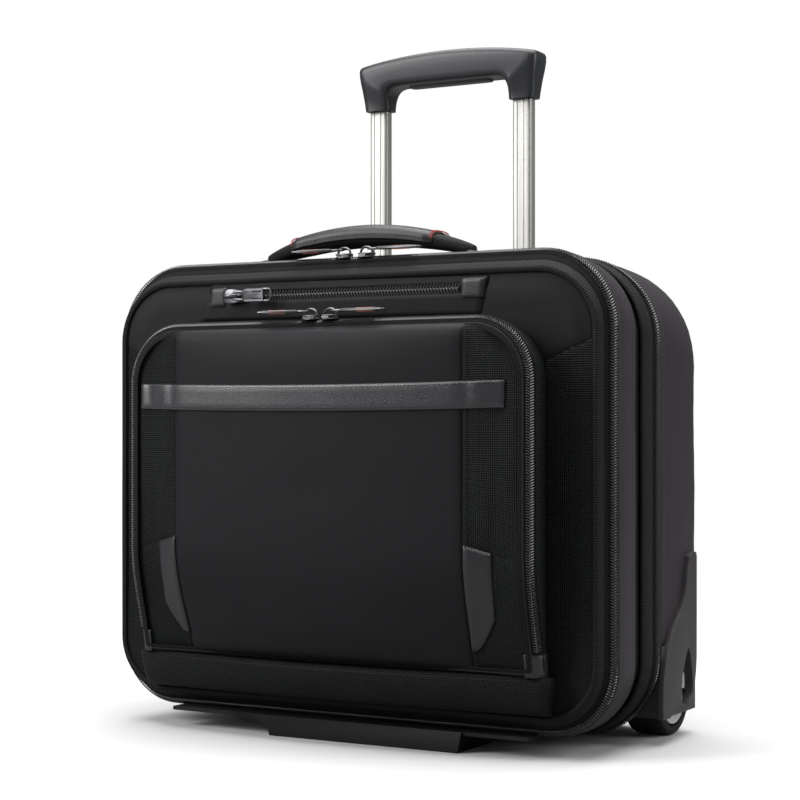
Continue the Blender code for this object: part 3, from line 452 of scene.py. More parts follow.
def rounded_outline(shape, steps=14, side=24, end=36):
    """Points (x, z) round a shape (half width, low, high, two corner radii), from low right upwards."""
    half_width, low, high, r_low, r_high = shape
    corners = (
        (half_width - r_low, low + r_low, r_low, -90.0, side),
        (half_width - r_high, high - r_high, r_high, 0.0, end),
        (r_high - half_width, high - r_high, r_high, 90.0, side),
        (r_low - half_width, low + r_low, r_low, 180.0, end),
    )
    arcs = []
    for x, z, radius, start, _ in corners:
        turns = [math.radians(start + 90.0 * i / steps) for i in range(steps + 1)]
        arcs.append([(x + radius * math.cos(a), z + radius * math.sin(a)) for a in turns])
    points = []
    for index, arc_points in enumerate(arcs):
        points += arc_points
        last, following = arc_points[-1], arcs[(index + 1) % 4][0]
        count = corners[index][4]
        for i in range(1, count):
            t = i / count
            points.append((mix(last[0], following[0], t), mix(last[1], following[1], t)))
    return points


def inset_shape(shape, inset):
    half_width, low, high, r_low, r_high = shape
    return (half_width - inset, low + inset, high - inset,
            max(r_low - inset, 0.002), max(r_high - inset, 0.002))


def body_shape(behind, inset=0.0):
    """The body's rounded shape at a depth, moved in by inset."""
    depth = min(max(behind, STATIONS[0][0]), STATIONS[-1][0])
    for first, second in zip(STATIONS, STATIONS[1:]):
        if depth <= second[0]:
            break
    t = (depth - first[0]) / (second[0] - first[0])
    return inset_shape(tuple(mix(a, b, t) for a, b in zip(first[1:], second[1:])), inset)


def half_width_at(shape, z):
    half_width, low, high, r_low, r_high = shape
    if z < low + r_low:
        return half_width - r_low + math.sqrt(max(r_low ** 2 - (low + r_low - z) ** 2, 0.0))
    if z > high - r_high:
        return half_width - r_high + math.sqrt(max(r_high ** 2 - (z - high + r_high) ** 2, 0.0))
    return half_width


def inside_distance(shape, x, z):
    """How far inside a rounded shape a point lies."""
    half_width, low, high, r_low, r_high = shape
    radius = r_low if z < (low + high) / 2 else r_high
    dx = abs(x) - (half_width - radius)
    dz = max(low + radius - z, z - high + radius)
    outside = math.hypot(max(dx, 0.0), max(dz, 0.0))
    return radius - outside - min(max(dx, dz), 0.0)


def heights(shape, spacing, extra=()):
    """Row heights for a shape: even along its straight sides, by angle round its corners."""
    _, low, high, r_low, r_high = shape
    steps = 9
    rows = [low + r_low * (1.0 - math.cos(math.radians(90.0 * i / steps))) for i in range(steps + 1)]
    count = max(int((high - r_high - low - r_low) / spacing), 1)
    rows += [mix(low + r_low, high - r_high, i / count) for i in range(1, count)]
    rows += [high - r_high * (1.0 - math.sin(math.radians(90.0 * i / steps))) for i in range(steps + 1)]
    rows = [z for z in rows if all(abs(z - e) > 0.6 * MM for e in extra)] + list(extra)
    return sorted(rows)


# ---- piece building -----------------------------------------------------------------------------
def round_edges(rounded_object, width, angle, harden=False):
    rounding = rounded_object.modifiers.new("rounding", "BEVEL")
    rounding.width, rounding.segments, rounding.harden_normals = width, 3, harden
    rounding.limit_method, rounding.angle_limit = "ANGLE", math.radians(angle)


class Piece:
    """Collects faces, with UVs in metres, for one piece."""

    def __init__(self):
        self.bm = bmesh.new()
        self.uv = self.bm.loops.layers.uv.new("metres")

    def face(self, verts, uvs):
        face = self.bm.faces.new(verts)
        for loop, uv in zip(face.loops, uvs):
            loop[self.uv].uv = uv

    def rows(self, rows, closed=False, ring=False, caps=False):
        """Joins rows of points; u runs along a row, v from row to row."""
        verts = [[self.bm.verts.new(p) for p in row] for row in rows]
        middle = rows[len(rows) // 2]
        along = [0.0]
        for a, b in zip(middle, middle[1:] + middle[:1]):
            along.append(along[-1] + (b - a).length)
        across = [0.0]
        samples = range(0, len(middle), max(len(middle) // 12, 1))
        for first, second in zip(rows, rows[1:] + rows[:1]):
            across.append(across[-1] + sum((second[i] - first[i]).length for i in samples) / len(samples))
        pairs = [(r, (r + 1) % len(rows)) for r in range(len(rows) if ring else len(rows) - 1)]
        count = len(middle)
        for r, s in pairs:
            for i in range(count if closed else count - 1):
                j = (i + 1) % count
                self.face((verts[r][i], verts[r][j], verts[s][j], verts[s][i]),
                          ((along[i], across[r]), (along[i + 1], across[r]),
                           (along[i + 1], across[r + 1]), (along[i], across[r + 1])))
        if caps:
            for row, points in ((verts[0], rows[0]), (verts[-1], rows[-1])):
                self.face(row, [(p.x + p.y, p.z) for p in points])
        return verts

    def tube(self, points, radius, sides=6, flat=1.0, up=Vector((0.0, 0.0, 1.0)), closed=False):
        """A round or flattened rod along points."""
        rings = []
        for i, point in enumerate(points):
            if closed:
                tangent = points[(i + 1) % len(points)] - points[i - 1]
            else:
                tangent = points[min(i + 1, len(points) - 1)] - points[max(i - 1, 0)]
            tangent.normalize()
            side = tangent.cross(up)
            side = side.normalized() if side.length > 1e-6 else tangent.orthogonal().normalized()
            top = side.cross(tangent)
            size = radius[i] if isinstance(radius, (list, tuple)) else radius
            rings.append([point + side * size * math.cos(2 * math.pi * k / sides)
                          + top * size * flat * math.sin(2 * math.pi * k / sides) for k in range(sides)])
        self.rows(rings, closed=True, ring=closed, caps=not closed)

    def make(self, name, body, material, slot, replaced=(), angle=48.0, thickness=0.0, offset=-1.0,
             bevel=0.0):
        """Turns the faces into a piece on a body; thickness gives it a wall and bevel rounds its edges."""
        bmesh.ops.remove_doubles(self.bm, verts=self.bm.verts, dist=1e-6)
        bmesh.ops.recalc_face_normals(self.bm, faces=self.bm.faces)
        mesh = bpy.data.meshes.new(name)
        self.bm.to_mesh(mesh)
        self.bm.free()
        mesh.materials.append(MATERIALS[material])
        mesh.shade_smooth()
        mesh.set_sharp_from_angle(angle=math.radians(angle))
        piece = add_object(name, mesh)
        if thickness:
            wall = piece.modifiers.new("wall", "SOLIDIFY")
            wall.thickness, wall.offset, wall.use_even_offset = thickness, offset, True
        if bevel:
            round_edges(piece, bevel, 35.0)
        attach(piece, body)
        if replaced:
            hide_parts(*replaced)
        return piece


def loft(name, body, material, slot, rows, replaced=(), closed=False, ring=False, caps=False, **finish):
    """A piece made of one run of rows."""
    piece = Piece()
    piece.rows(rows, closed, ring, caps)
    return piece.make(name, body, material, slot, replaced, **finish)


def rounded(profile, times):
    """Cuts the corners of a closed profile, for a soft section."""
    for _ in range(times):
        finer = []
        for a, b in zip(profile, profile[1:] + profile[:1]):
            finer += [tuple(mix(p, q, share) for p, q in zip(a, b)) for share in (0.25, 0.75)]
        profile = finer
    return profile


def outward(points):
    """Unit normals (x, z) of a closed outline that runs anticlockwise."""
    normals = []
    for i in range(len(points)):
        (ax, az), (bx, bz) = points[i - 1], points[(i + 1) % len(points)]
        length = math.hypot(bx - ax, bz - az) or 1.0
        normals.append(((bz - az) / length, (ax - bx) / length))
    return normals


def body_row(behind, inset, puff=None):
    """One loop round the body; puff(length, x, z) moves it outwards."""
    points = rounded_outline(body_shape(behind, inset))
    if not puff:
        return [place(x, behind, z) for x, z in points]
    row, length = [], 0.0
    for i, ((x, z), (nx, nz)) in enumerate(zip(points, outward(points))):
        if i:
            length += math.hypot(x - points[i - 1][0], z - points[i - 1][1])
        out = puff(length, x, z)
        row.append(place(x + nx * out, behind, z + nz * out))
    return row


def piping_ring(name, body, profile, replaced, smoothing, puff):
    rows = [body_row(b, i, puff) for b, i in rounded(profile, smoothing)]
    loft(name, body, "piping", "piping_fabric", rows, [replaced], closed=True, ring=True)


def resample(points, pitch, closed=True):
    """Even steps along a line, each with its place, direction and travelled length."""
    line = points + points[:1] if closed else points
    total = sum((b - a).length for a, b in zip(line, line[1:]))
    count = int(total / pitch)
    steps, travelled, index = [], 0.0, 0
    for k in range(count):
        goal = (k + 0.5) * total / count
        while index < len(line) - 2 and travelled + (line[index + 1] - line[index]).length < goal:
            travelled += (line[index + 1] - line[index]).length
            index += 1
        direction = line[index + 1] - line[index]
        point = line[index] + direction * ((goal - travelled) / direction.length)
        steps.append((point, direction.normalized()))
    return steps


def teeth(piece, line, frame_at, sign, half_width, pitch=2.0 * MM, closed=True, keep=None):
    """Coil teeth along a line, reaching from the tape over the middle.

    frame_at(direction) gives the unit vectors out of the zipper and across it, and sign the tape's side."""
    for point, direction in resample(line, pitch, closed):
        if keep and not keep(point):
            continue
        out, across_way = frame_at(direction)
        own_side = across_way * sign
        base = point + direction * pitch * 0.25 * sign
        stations = ((half_width, -0.3, 0.30, 0.30), (0.86 * half_width, 0.55, 0.42, 0.40),
                    (0.35 * half_width, 0.95, 0.05, 0.44), (-0.05 * half_width, 0.90, -0.15, 0.40),
                    (-0.22 * half_width, 0.35, -0.20, 0.30))
        rings = []
        for across, rise, slant, size in stations:
            middle = base + own_side * across + out * rise * MM + direction * slant * pitch
            rings.append([middle + direction * size * pitch * 0.62 * c + out * size * s * 0.9 * MM
                          for c, s in ((1, 0), (0, 1), (-1, 0), (0, -1))])
        piece.rows(rings, closed=True, caps=True)


def ring_frame(tilt):
    """The frame of a zipper round the body, turned towards the front by tilt degrees."""
    c, s = math.cos(math.radians(tilt)), math.sin(math.radians(tilt))

    def frame_at(direction):
        normal = Vector((direction.z, 0.0, -direction.x)).normalized()
        return normal * c - Vector((0.0, s, 0.0)), normal * s + Vector((0.0, c, 0.0))
    return frame_at


def stitches(piece, line, out, pitch=3.4 * MM, length=2.5 * MM, radius=0.28 * MM):
    """Separate sewn stitches along a line; out is the unit vector away from the cloth."""
    for point, direction in resample(line, pitch, closed=False):
        ends = [point + direction * length * t + out * radius * rise
                for t, rise in ((-0.5, -0.8), (-0.3, 0.5), (0.0, 0.8), (0.3, 0.5), (0.5, -0.8))]
        piece.tube(ends, [radius * s for s in (0.5, 0.9, 1.0, 0.9, 0.5)], sides=5, up=out)


def sew(name, body, slot, lines, out, material="thread", **size):
    """A piece made of stitched lines."""
    piece = Piece()
    for line in lines:
        stitches(piece, line, out, **size)
    return piece.make(name, body, material, slot)


def inflate(rows, pinned, pressure, cap):
    """Swells a pinned sheet with Blender's cloth and gives its rows back, no point moving more than cap."""
    bm = bmesh.new()
    grid = [[bm.verts.new(p) for p in row] for row in rows]
    for r in range(len(rows) - 1):
        for c in range(len(rows[0]) - 1):
            bm.faces.new((grid[r][c], grid[r][c + 1], grid[r + 1][c + 1], grid[r + 1][c]))
    bm.normal_update()
    mesh = bpy.data.meshes.new("inflating")
    bm.to_mesh(mesh)
    bm.free()
    sheet = add_object("inflating", mesh)
    columns = len(rows[0])
    pins = sheet.vertex_groups.new(name="pins")
    held = [r * columns + c for r in range(len(rows)) for c in range(columns) if pinned(r, c)]
    pins.add(held, 1.0, "REPLACE")
    cloth = sheet.modifiers.new("cloth", "CLOTH")
    cloth.settings.quality = 6
    cloth.settings.mass = 0.4
    cloth.settings.tension_stiffness = cloth.settings.compression_stiffness = 18.0
    cloth.settings.shear_stiffness = 8.0
    cloth.settings.bending_stiffness = 2.0
    cloth.settings.air_damping = 4.0
    cloth.settings.vertex_group_mass = "pins"
    cloth.settings.use_pressure = True
    cloth.settings.uniform_pressure_force = pressure
    cloth.settings.effector_weights.gravity = 0.0
    last_frame = 20
    cloth.point_cache.frame_start, cloth.point_cache.frame_end = 1, last_frame
    for frame_number in range(1, last_frame + 1):
        bpy.context.scene.frame_set(frame_number)
    graph = bpy.context.evaluated_depsgraph_get()
    swollen = sheet.evaluated_get(graph).to_mesh()
    moved = [v.co.copy() for v in swollen.vertices]
    sheet.evaluated_get(graph).to_mesh_clear()
    bpy.data.objects.remove(sheet, do_unlink=True)
    bpy.context.scene.frame_set(1)
    result, index = [], 0
    for row in rows:
        line = []
        for point in row:
            step = moved[index] - point
            if step.length > cap:
                step *= cap / step.length
            line.append(point + step)
            index += 1
        result.append(line)
    return result


# ---- case: rear shell, zipper, lining -----------------------------------------------------------
def side_name(side):
    return "left" if side < 0 else "right"


def puckers(amount, spacing, slow):
    """Small gathers that a sewn edge draws into cloth, with slow unevenness."""
    def puff(length, x, z):
        gather = math.sin(2 * math.pi * length / spacing + 2.0 * noise.noise(Vector((x, 0.3, z)) * 30.0))
        return amount * gather + wobble(x, 0.0, z, 14.0, slow)
    return puff


def faded_rows(profile, puff):
    """Body rows along a profile; the gathers fade out towards its two ends."""
    rows = []
    for index, (behind, inset) in enumerate(profile):
        fade = smooth_step(index / 4.0) * smooth_step((len(profile) - 1 - index) / 4.0)
        rows.append(body_row(behind, inset, lambda s, x, z, f=fade: puff(s, x, z) * f))
    return rows


def split(bm, point, normal):
    """Adds edges where a plane crosses the mesh."""
    bmesh.ops.bisect_plane(bm, geom=list(bm.verts) + list(bm.edges) + list(bm.faces), dist=1e-7,
                           plane_co=point, plane_no=normal)


def remove_faces(bm, doomed):
    """Removes the faces whose centre answers to doomed(centre)."""
    bmesh.ops.delete(bm, geom=[f for f in bm.faces if doomed(f.calc_center_median())], context="FACES")


def cut_wheel_corners(bm):
    """Takes away the shell's lower corners, where the wheel housings stand."""
    for x in (WHEEL_CORNER_X, -WHEEL_CORNER_X):
        split(bm, (x, 0, 0), (1, 0, 0))
    split(bm, (0, 0, WHEEL_CORNER_TOP), (0, 0, 1))
    remove_faces(bm, lambda c: abs(c.x) > WHEEL_CORNER_X and c.z < WHEEL_CORNER_TOP)


def cut_tube_slots(bm):
    """Opens the shell's top where the trolley's tubes come out."""
    half_x, half_y = SLOT_HALF
    middle_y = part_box("trolley_channel_left")[0].y + CHANNEL_HALF_DEPTH
    for side in (-1, 1):
        for edge in (-half_x, half_x):
            split(bm, (side * TUBE_X + edge, 0, 0), (1, 0, 0))
    for edge in (-half_y, half_y):
        split(bm, (0, middle_y + edge, 0), (0, 1, 0))
    remove_faces(bm, lambda c: c.z > SLOT_ABOVE and abs(c.y - middle_y) < half_y
                 and abs(abs(c.x) - TUBE_X) < half_x)


def surface(shape, depth, columns, spacing, extra=()):
    """A sheet across a rounded shape; depth(x, z) gives how far behind the front panel it lies."""
    rows = []
    for z in heights(shape, spacing, extra):
        reach = half_width_at(shape, z)
        rows.append([place(x, depth(x, z), z) for x in span(-reach, reach, columns)])
    return rows


def make_rear_shell():
    rim, edge = SHELL_LOW.y - FRONT_Y, BACK - BACK_EDGE
    profile = [(rim, 1.5 * MM), (rim + 0.8 * MM, 0.5 * MM), (rim + 2.2 * MM, 0.0),
               (rim + 4.5 * MM, -0.3 * MM)]
    profile += [(mix(rim + 6.0 * MM, edge, i / 14.0), -0.9 * MM * math.sin(math.pi * i / 14.0))
                for i in range(15)]
    profile += [(edge + BACK_EDGE * math.sin(a), BACK_EDGE * (1 - math.cos(a)))
                for a in (math.radians(90.0 * i / 10) for i in range(1, 11))]
    piece = Piece()
    piece.rows(faded_rows(profile, puckers(0.10 * MM, 13 * MM, 0.9 * MM)), closed=True)
    cut_wheel_corners(piece.bm)
    cut_tube_slots(piece.bm)
    # the "side" colour is the smooth nylon lightened as painted light for the lit side walls
    piece.make("rear_shell_cover", "case", "side", "smooth_fabric", ["rear_shell"], thickness=1.4 * MM)

    shape = body_shape(BACK, BACK_EDGE - 1.5 * MM)

    def back_depth(x, z):
        """The back's gentle pillow, drawn in along two upright seams and one across between them."""
        seam = abs(abs(x) - BACK_SEAM_X)
        if abs(x) < BACK_SEAM_X + 1.0 * MM:
            seam = min(seam, abs(z - BACK_SEAM_Z))
        pillow = smooth_step(inside_distance(shape, x, z) / 0.03) - math.exp(-(seam / (1.6 * MM)) ** 2)
        return BACK - 0.4 * MM + 0.9 * MM * pillow + wobble(x, 1.0, z, 16.0, 0.4 * MM)

    piece = Piece()
    piece.rows(surface(shape, back_depth, 96, 4.0 * MM,
                       (BACK_SEAM_Z - 1.5 * MM, BACK_SEAM_Z, BACK_SEAM_Z + 1.5 * MM)))
    cut_wheel_corners(piece.bm)
    piece.make("rear_back_cover", "case", "woven", "woven_fabric", thickness=1.2 * MM)

    seams = [[place(x + offset, back_depth(x, z) + 0.8 * MM, z) for z in span(0.034, 0.334, 60)]
             for x in (-BACK_SEAM_X, BACK_SEAM_X) for offset in (-2.0 * MM, 2.0 * MM)]
    sew("rear_back_stitching", "case", "woven_fabric", seams, -FORWARD)

    piece = Piece()
    inner = [(rim + 0.3 * MM, 3.2 * MM), (rim + 5.0 * MM, 4.2 * MM), (edge, 3.6 * MM),
             (BACK - 8.0 * MM, 9.0 * MM), (BACK - 3.6 * MM, 22.0 * MM)]
    piece.rows([body_row(b, i, lambda s, x, z: wobble(x, 2.0, z, 18.0, 0.6 * MM) - 0.5 * MM)
                for b, i in inner], closed=True)
    piece.rows(surface(body_shape(BACK, BACK_EDGE), lambda x, z: BACK - 3.6 * MM, 40, 8.0 * MM))
    cut_wheel_corners(piece.bm)
    cut_tube_slots(piece.bm)
    piece.make("main_compartment_lining", "case", "lining", "lining", thickness=0.6 * MM)

    low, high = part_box("trolley_cover_board")
    rows = []
    for y, inset in ((high.y, 1 * MM), (high.y, 0.0), (low.y + 0.8 * MM, 0.0), (low.y, 1.2 * MM)):
        outline = rounded_outline((high.x - inset, low.z + inset, high.z - inset, 0.012, 0.012), 6, 12, 16)
        rows.append([Vector((x, y, z)) for x, z in outline])
    loft("trolley_cover_lining", "case", "lining", "lining", rows, ["trolley_cover_board"], closed=True,
         caps=True)


def make_body_zippers():
    """Both zippers round the body; their tapes slope, so that the coils face the front a little."""
    rim = SHELL_LOW.y - FRONT_Y
    gap = 0.15 * MM
    tapes = (
        ("organizer", "front", "front_panel",
         ((ZIP_ONE - 5.0 * MM, 3.9 * MM), (ZIP_ONE - 3.0 * MM, 2.7 * MM), (ZIP_ONE - gap, 1.0 * MM))),
        ("organizer", "rear", "front_section",
         ((ZIP_ONE + gap, 0.9 * MM), (ZIP_ONE + 3.0 * MM, -0.7 * MM), (ZIP_ONE + 4.3 * MM, -1.0 * MM))),
        ("main", "front", "front_section",
         ((ZIP_TWO - 6.9 * MM, 1.8 * MM), (ZIP_TWO - 3.0 * MM, 1.3 * MM), (ZIP_TWO - gap, 0.5 * MM))),
        ("main", "rear", "case",
         ((ZIP_TWO + gap, 0.4 * MM), (ZIP_TWO + 3.0 * MM, -0.6 * MM), (rim - 0.3 * MM, 0.2 * MM))),
    )
    for zipper, half, body, outer in tapes:
        inner = tuple((behind, inset + 3.0 * MM) for behind, inset in (outer[-1], outer[0]))
        rows = [body_row(behind, inset) for behind, inset in outer + inner]
        loft(f"{zipper}_zipper_tape_{half}", body, "tape", "zipper", rows, [f"{zipper}_zipper_{half}_tape"],
             closed=True, ring=True)
    coils = {"organizer": (ZIP_ONE, 0.5 * MM, 3.4 * MM, 31), "main": (ZIP_TWO, 0.1 * MM, 2.9 * MM, 20)}
    for zipper, half, body, _ in tapes:
        behind, inset, half_width, tilt = coils[zipper]
        piece = Piece()
        teeth(piece, body_row(behind, inset), ring_frame(tilt), -1 if half == "front" else 1, half_width)
        piece.make(f"{zipper}_zipper_teeth_{half}", body, "teeth", "zipper")


# ---- front section ------------------------------------------------------------------------------
def make_front_section():
    start = ZIP_ONE + 4.5 * MM
    groove = 0.0530
    profile = [(start, 2.0 * MM), (start, -1.0 * MM), (start + 0.9 * MM, -1.7 * MM)]
    profile += [(mix(start + 2.6 * MM, groove - 3.0 * MM, i / 10.0),
                 mix(-1.6 * MM, 0.5 * MM, smooth_step(i / 10.0)) - 0.5 * MM * math.sin(math.pi * i / 10.0))
                for i in range(11)]
    profile += [(groove - 1.0 * MM, 1.3 * MM), (groove, 2.4 * MM), (groove + 0.2 * MM, 4.6 * MM)]
    # the "side" colour is the smooth nylon lightened as painted light for the lit side walls
    loft("front_section_cover", "front_section", "side", "smooth_fabric",
         faded_rows(profile, puckers(0.12 * MM, 12 * MM, 0.7 * MM)), ["front_section_shell"], closed=True,
         thickness=1.0 * MM)
    piece = Piece()
    band = ((groove - 1.0 * MM, 4.6 * MM), (0.0585, 5.0 * MM), (0.0652, 4.6 * MM), (0.0825, 5.0 * MM),
            (SECTION_BACK, 6.2 * MM))
    piece.rows([body_row(b, i) for b, i in band], closed=True)
    piece.rows(surface(body_shape(SECTION_BACK, 6.2 * MM),
                       lambda x, z: SECTION_BACK + wobble(x, 3.0, z, 20.0, 0.3 * MM) - 0.3 * MM,
                       48, 7.0 * MM))
    piece.make("front_section_band", "front_section", "woven", "woven_fabric", thickness=0.8 * MM)
    piece = Piece()
    tub = ((start + 0.4 * MM, 6.9 * MM), (0.0300, 7.6 * MM), (groove, 8.0 * MM),
           (SECTION_BACK - 2.6 * MM, 8.0 * MM))
    piece.rows([body_row(b, i, lambda s, x, z: wobble(x, 4.0, z, 20.0, 0.5 * MM)) for b, i in tub],
               closed=True)
    piece.rows(surface(body_shape(SECTION_BACK, 8.0 * MM), lambda x, z: SECTION_BACK - 2.6 * MM,
                       40, 8.0 * MM))
    piece.make("organizer_lining", "front_section", "lining", "lining", thickness=0.6 * MM)
    piping_ring("padded_piping_rear", "front_section",
                ((0.0650, 0.0042), (0.0650, 0.0014), (0.0680, -0.0002), (0.0735, -0.0008), (0.0790, -0.0002),
                 (0.0820, 0.0014), (0.0820, 0.0042)), "section_piping", 3,
                puckers(0.06 * MM, 9 * MM, 0.3 * MM))


def make_laptop_sleeve():
    """A padded sleeve with a rolled, bound mouth and a quilted front."""
    low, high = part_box("laptop_sleeve")
    y_front, y_back = low.y + 1.0 * MM, high.y - 1.0 * MM
    x_left, x_right = low.x + 1 * MM, high.x - 1 * MM

    def quilt(x, z):
        """The upright channels of the quilting, which run out at the sleeve's foot."""
        channel = math.sin(math.pi * ((x + 0.178) % QUILT_PITCH) / QUILT_PITCH) ** 0.6
        return 1.4 * MM * channel * min(1.0, 14 * (z - low.z) / 0.258)

    columns = span(x_left, x_right, 64)
    rows = [[Vector((x, y_front + 1.5 * MM - quilt(x, z), z)) for x in columns]
            + [Vector((x, y_back, z)) for x in columns[::-1]]
            for z in span(low.z + 1.5 * MM, high.z - 2.0 * MM, 30)]
    sleeve = loft("laptop_sleeve_pad", "front_section", "lining", "lining", rows, ["laptop_sleeve"],
                  closed=True, thickness=2.2 * MM)
    z = high.z - 1.6 * MM
    mouth = [Vector((x, y_front + 1.2 * MM, z)) for x in span(x_left, x_right, 20)]
    mouth += [Vector((x, y_back - 0.2 * MM, z)) for x in span(x_right, x_left, 20)]
    piece = Piece()
    piece.tube(mouth, 1.7 * MM, sides=8, closed=True)
    piece.make("laptop_sleeve_binding", "front_section", "webbing", "piping_fabric")


# ---- front panel --------------------------------------------------------------------------------
PANEL_SHAPE = body_shape(0.0, 7.4 * MM)


def line_distance(x, z, line):
    """The signed distance of (x, z) from a straight line."""
    (ax, az), (bx, bz) = line
    length = math.hypot(bx - ax, bz - az)
    return ((x - ax) * (bz - az) - (z - az) * (bx - ax)) / length


def panel_depth(x, z):
    """The front panel's gentle pillow, drawn in along its seams."""
    inner = inside_distance(PANEL_SHAPE, x, z)
    seam = abs(line_distance(abs(x), z, PANEL_SEAM))
    depth = 1.6 * MM - 1.9 * MM * smooth_step(inner / 0.016) + wobble(x, 5.0, z, 22.0, 0.35 * MM)
    return depth + 0.8 * MM * math.exp(-(seam / (1.5 * MM)) ** 2)


def above_seams(point):
    """Whether a point of the front panel is in its smooth upper part."""
    if abs(point.x) > PANEL_SEAM_FROM_X:
        return line_distance(abs(point.x), point.z, PANEL_SEAM) > 0
    return point.z > PANEL_MIDDLE_Z


def make_front_panel():
    piping_ring("panel_piping", "front_panel",
                ((-0.0016, 0.0046), (-0.0002, 0.0028), (0.0040, 0.0026), (0.0066, 0.0034), (0.0066, 0.0062),
                 (0.0042, 0.0080), (0.0006, 0.0086), (-0.0014, 0.0074)), "front_panel_piping", 2,
                puckers(0.05 * MM, 9 * MM, 0.25 * MM))
    for name, material, slot, above, replaced in (
            ("front_panel_top", "smooth", "smooth_fabric", True, ["front_panel_board"]),
            ("front_panel_lower", "woven", "woven_fabric", False, ())):
        piece = Piece()
        piece.rows(surface(PANEL_SHAPE, panel_depth, 150, 2.6 * MM))
        for side in (-1, 1):
            (ax, az), (bx, bz) = PANEL_SEAM
            along = Vector((side * (bx - ax), 0.0, bz - az)).normalized()
            split(piece.bm, place(side * ax, 0, az), Vector((-along.z, 0.0, along.x)) * -side)
        remove_faces(piece.bm, lambda c, kept=above: above_seams(c) != kept)
        piece.make(name, "front_panel", material, slot, replaced, thickness=1.0 * MM, offset=1.0)
    loft("front_panel_lining", "front_panel", "lining", "lining",
         surface(PANEL_SHAPE, lambda x, z: 4.2 * MM, 40, 8.0 * MM), thickness=0.8 * MM)


def make_upper_pocket():
    """The zipped slip pocket over the main pocket: a slanted panel, its zipper and its leather ends."""
    low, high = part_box("upper_pocket_zipper")
    zip_z = (low.z + high.z) / 2
    gap, lift = 3.1 * MM, 1.7 * MM
    (tlx, tlz), (blx, blz), (brx, brz), (trx, trz) = UPPER_POCKET
    for name, above, count in (("upper_pocket_lip", True, 6), ("upper_pocket_panel", False, 12)):
        rows = []
        for r in range(count + 1):
            row = []
            for s in span(0.0, 1.0, 120):
                bottom = Vector((mix(blx, brx, s), mix(blz, brz, s)))
                top = Vector((mix(tlx, trx, s), mix(tlz, trz, s)))
                start = (zip_z + gap - bottom.y) / (top.y - bottom.y) if above else 0.0
                stop = 1.0 if above else (zip_z - gap - bottom.y) / (top.y - bottom.y)
                t = mix(start, stop, r / count)
                x, z = mix(bottom.x, top.x, t), mix(bottom.y, top.y, t)
                rise = lift * swell(min(r, count - r) / count, 8.0) * swell(min(s, 1 - s), 40.0)
                uneven = wobble(x, 6.0, z, 60.0, 0.25 * MM) * rise / lift
                row.append(place(x, panel_depth(x, z) - 0.15 * MM - rise + uneven, z))
            rows.append(row)
        loft(name, "front_panel", "smooth", "smooth_fabric", rows, thickness=0.5 * MM, offset=1.0)
    seams = [[place(x, -1.7 * MM, zip_z + sign * 4.9 * MM) for x in span(-0.103, 0.099, 80)]
             for sign in (-1, 1)]
    sew("upper_pocket_stitching", "front_panel", "smooth_fabric", seams, FORWARD)
    section = ((low.y + 2.1 * MM, low.z), (low.y + 1.2 * MM, low.z + 0.6 * MM),
               (low.y + 1.2 * MM, high.z - 0.6 * MM), (low.y + 2.1 * MM, high.z))
    rows = [[Vector((x, y, z)) for x in span(low.x, high.x, 60)] for y, z in section]
    loft("upper_pocket_tape", "front_panel", "tape", "zipper", rows, ["upper_pocket_zipper"],
         thickness=0.4 * MM)
    piece = Piece()
    line = [Vector((x, low.y + 1.3 * MM, zip_z)) for x in span(low.x + 1 * MM, high.x - 1 * MM, 40)]
    for sign in (-1, 1):
        teeth(piece, line, lambda direction: (FORWARD, UP), sign, 4.0 * MM, 2.6 * MM, closed=False)
    piece.make("upper_pocket_teeth", "front_panel", "bright_teeth", "zipper")
    for side in (-1, 1):
        name = "upper_zip_tab_" + side_name(side)
        tab_low, tab_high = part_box(name)
        outer_x, inner_x = (tab_low.x, tab_high.x) if side < 0 else (tab_high.x, tab_low.x)
        rows = []
        for t in span(0.0, 1.0, 8):
            slanted = outer_x + 2.2 * MM * (t - 0.5)
            rows.append([Vector((mix(slanted, inner_x, s),
                                 tab_low.y + 1.6 * MM - 2.0 * MM * swell(min(s, 1 - s, t, 1 - t), 7),
                                 mix(tab_low.z, tab_high.z, t))) for s in span(0.0, 1.0, 8)])
        loft("leather_zip_end_" + side_name(side), "front_panel", "leather", "leather", rows, [name],
             thickness=0.6 * MM, offset=1.0)


def make_bottom_strip():
    """The bowed, padded bar under the front pocket, with its seam."""
    low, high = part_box("bottom_padded_strip")
    reach = high.x
    rows = []
    for i in range(89):
        x = reach * (2.0 * i / 88 - 1.0)
        bulge = 0.0115 + 0.018 * (1.0 - (x / reach) ** 2) + 0.0052 * smooth_step((0.1805 - abs(x)) / 0.008)
        profile = ((0.0003, 0.0325), (-0.35 * bulge, 0.0315), (-0.80 * bulge, 0.0345), (-0.96 * bulge, 0.0430),
                   (-1.03 * bulge, 0.0530), (-1.02 * bulge, 0.0600), (-0.75 * bulge, 0.0612), (0.0003, 0.0550))
        lean = 0.004 * smooth_step((abs(x) - 0.150) / 0.026)
        rows.append([place(x + math.copysign(lean, x) * (0.045 - z) / 0.012 * -0.6,
                           behind * (1.0 + wobble(x, 7.0, z, 26.0, 0.04)), z)
                     for behind, z in rounded(profile, 2)])
    pad = loft("bottom_padded_bar", "front_panel", "woven", "woven_fabric", rows, ["bottom_padded_strip"],
               closed=True, caps=True)
    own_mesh(pad)
    line = [place(x, -1.04 * (0.0167 + 0.018 * (1.0 - (x / reach) ** 2)) - 0.1 * MM, 0.0575)
            for x in span(-0.145, 0.145, 90)]
    seam = sew("bottom_bar_stitching", "front_panel", "woven_fabric", [line], FORWARD)
    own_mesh(seam)


# ---- front pocket -------------------------------------------------------------------------------
def fullness(z):
    return smooth_step((z - 0.050) / 0.095)


def pocket_edge(z):
    """The depth of the pocket's centre panel at its side seams."""
    return -(0.020 + 0.023 * fullness(z))


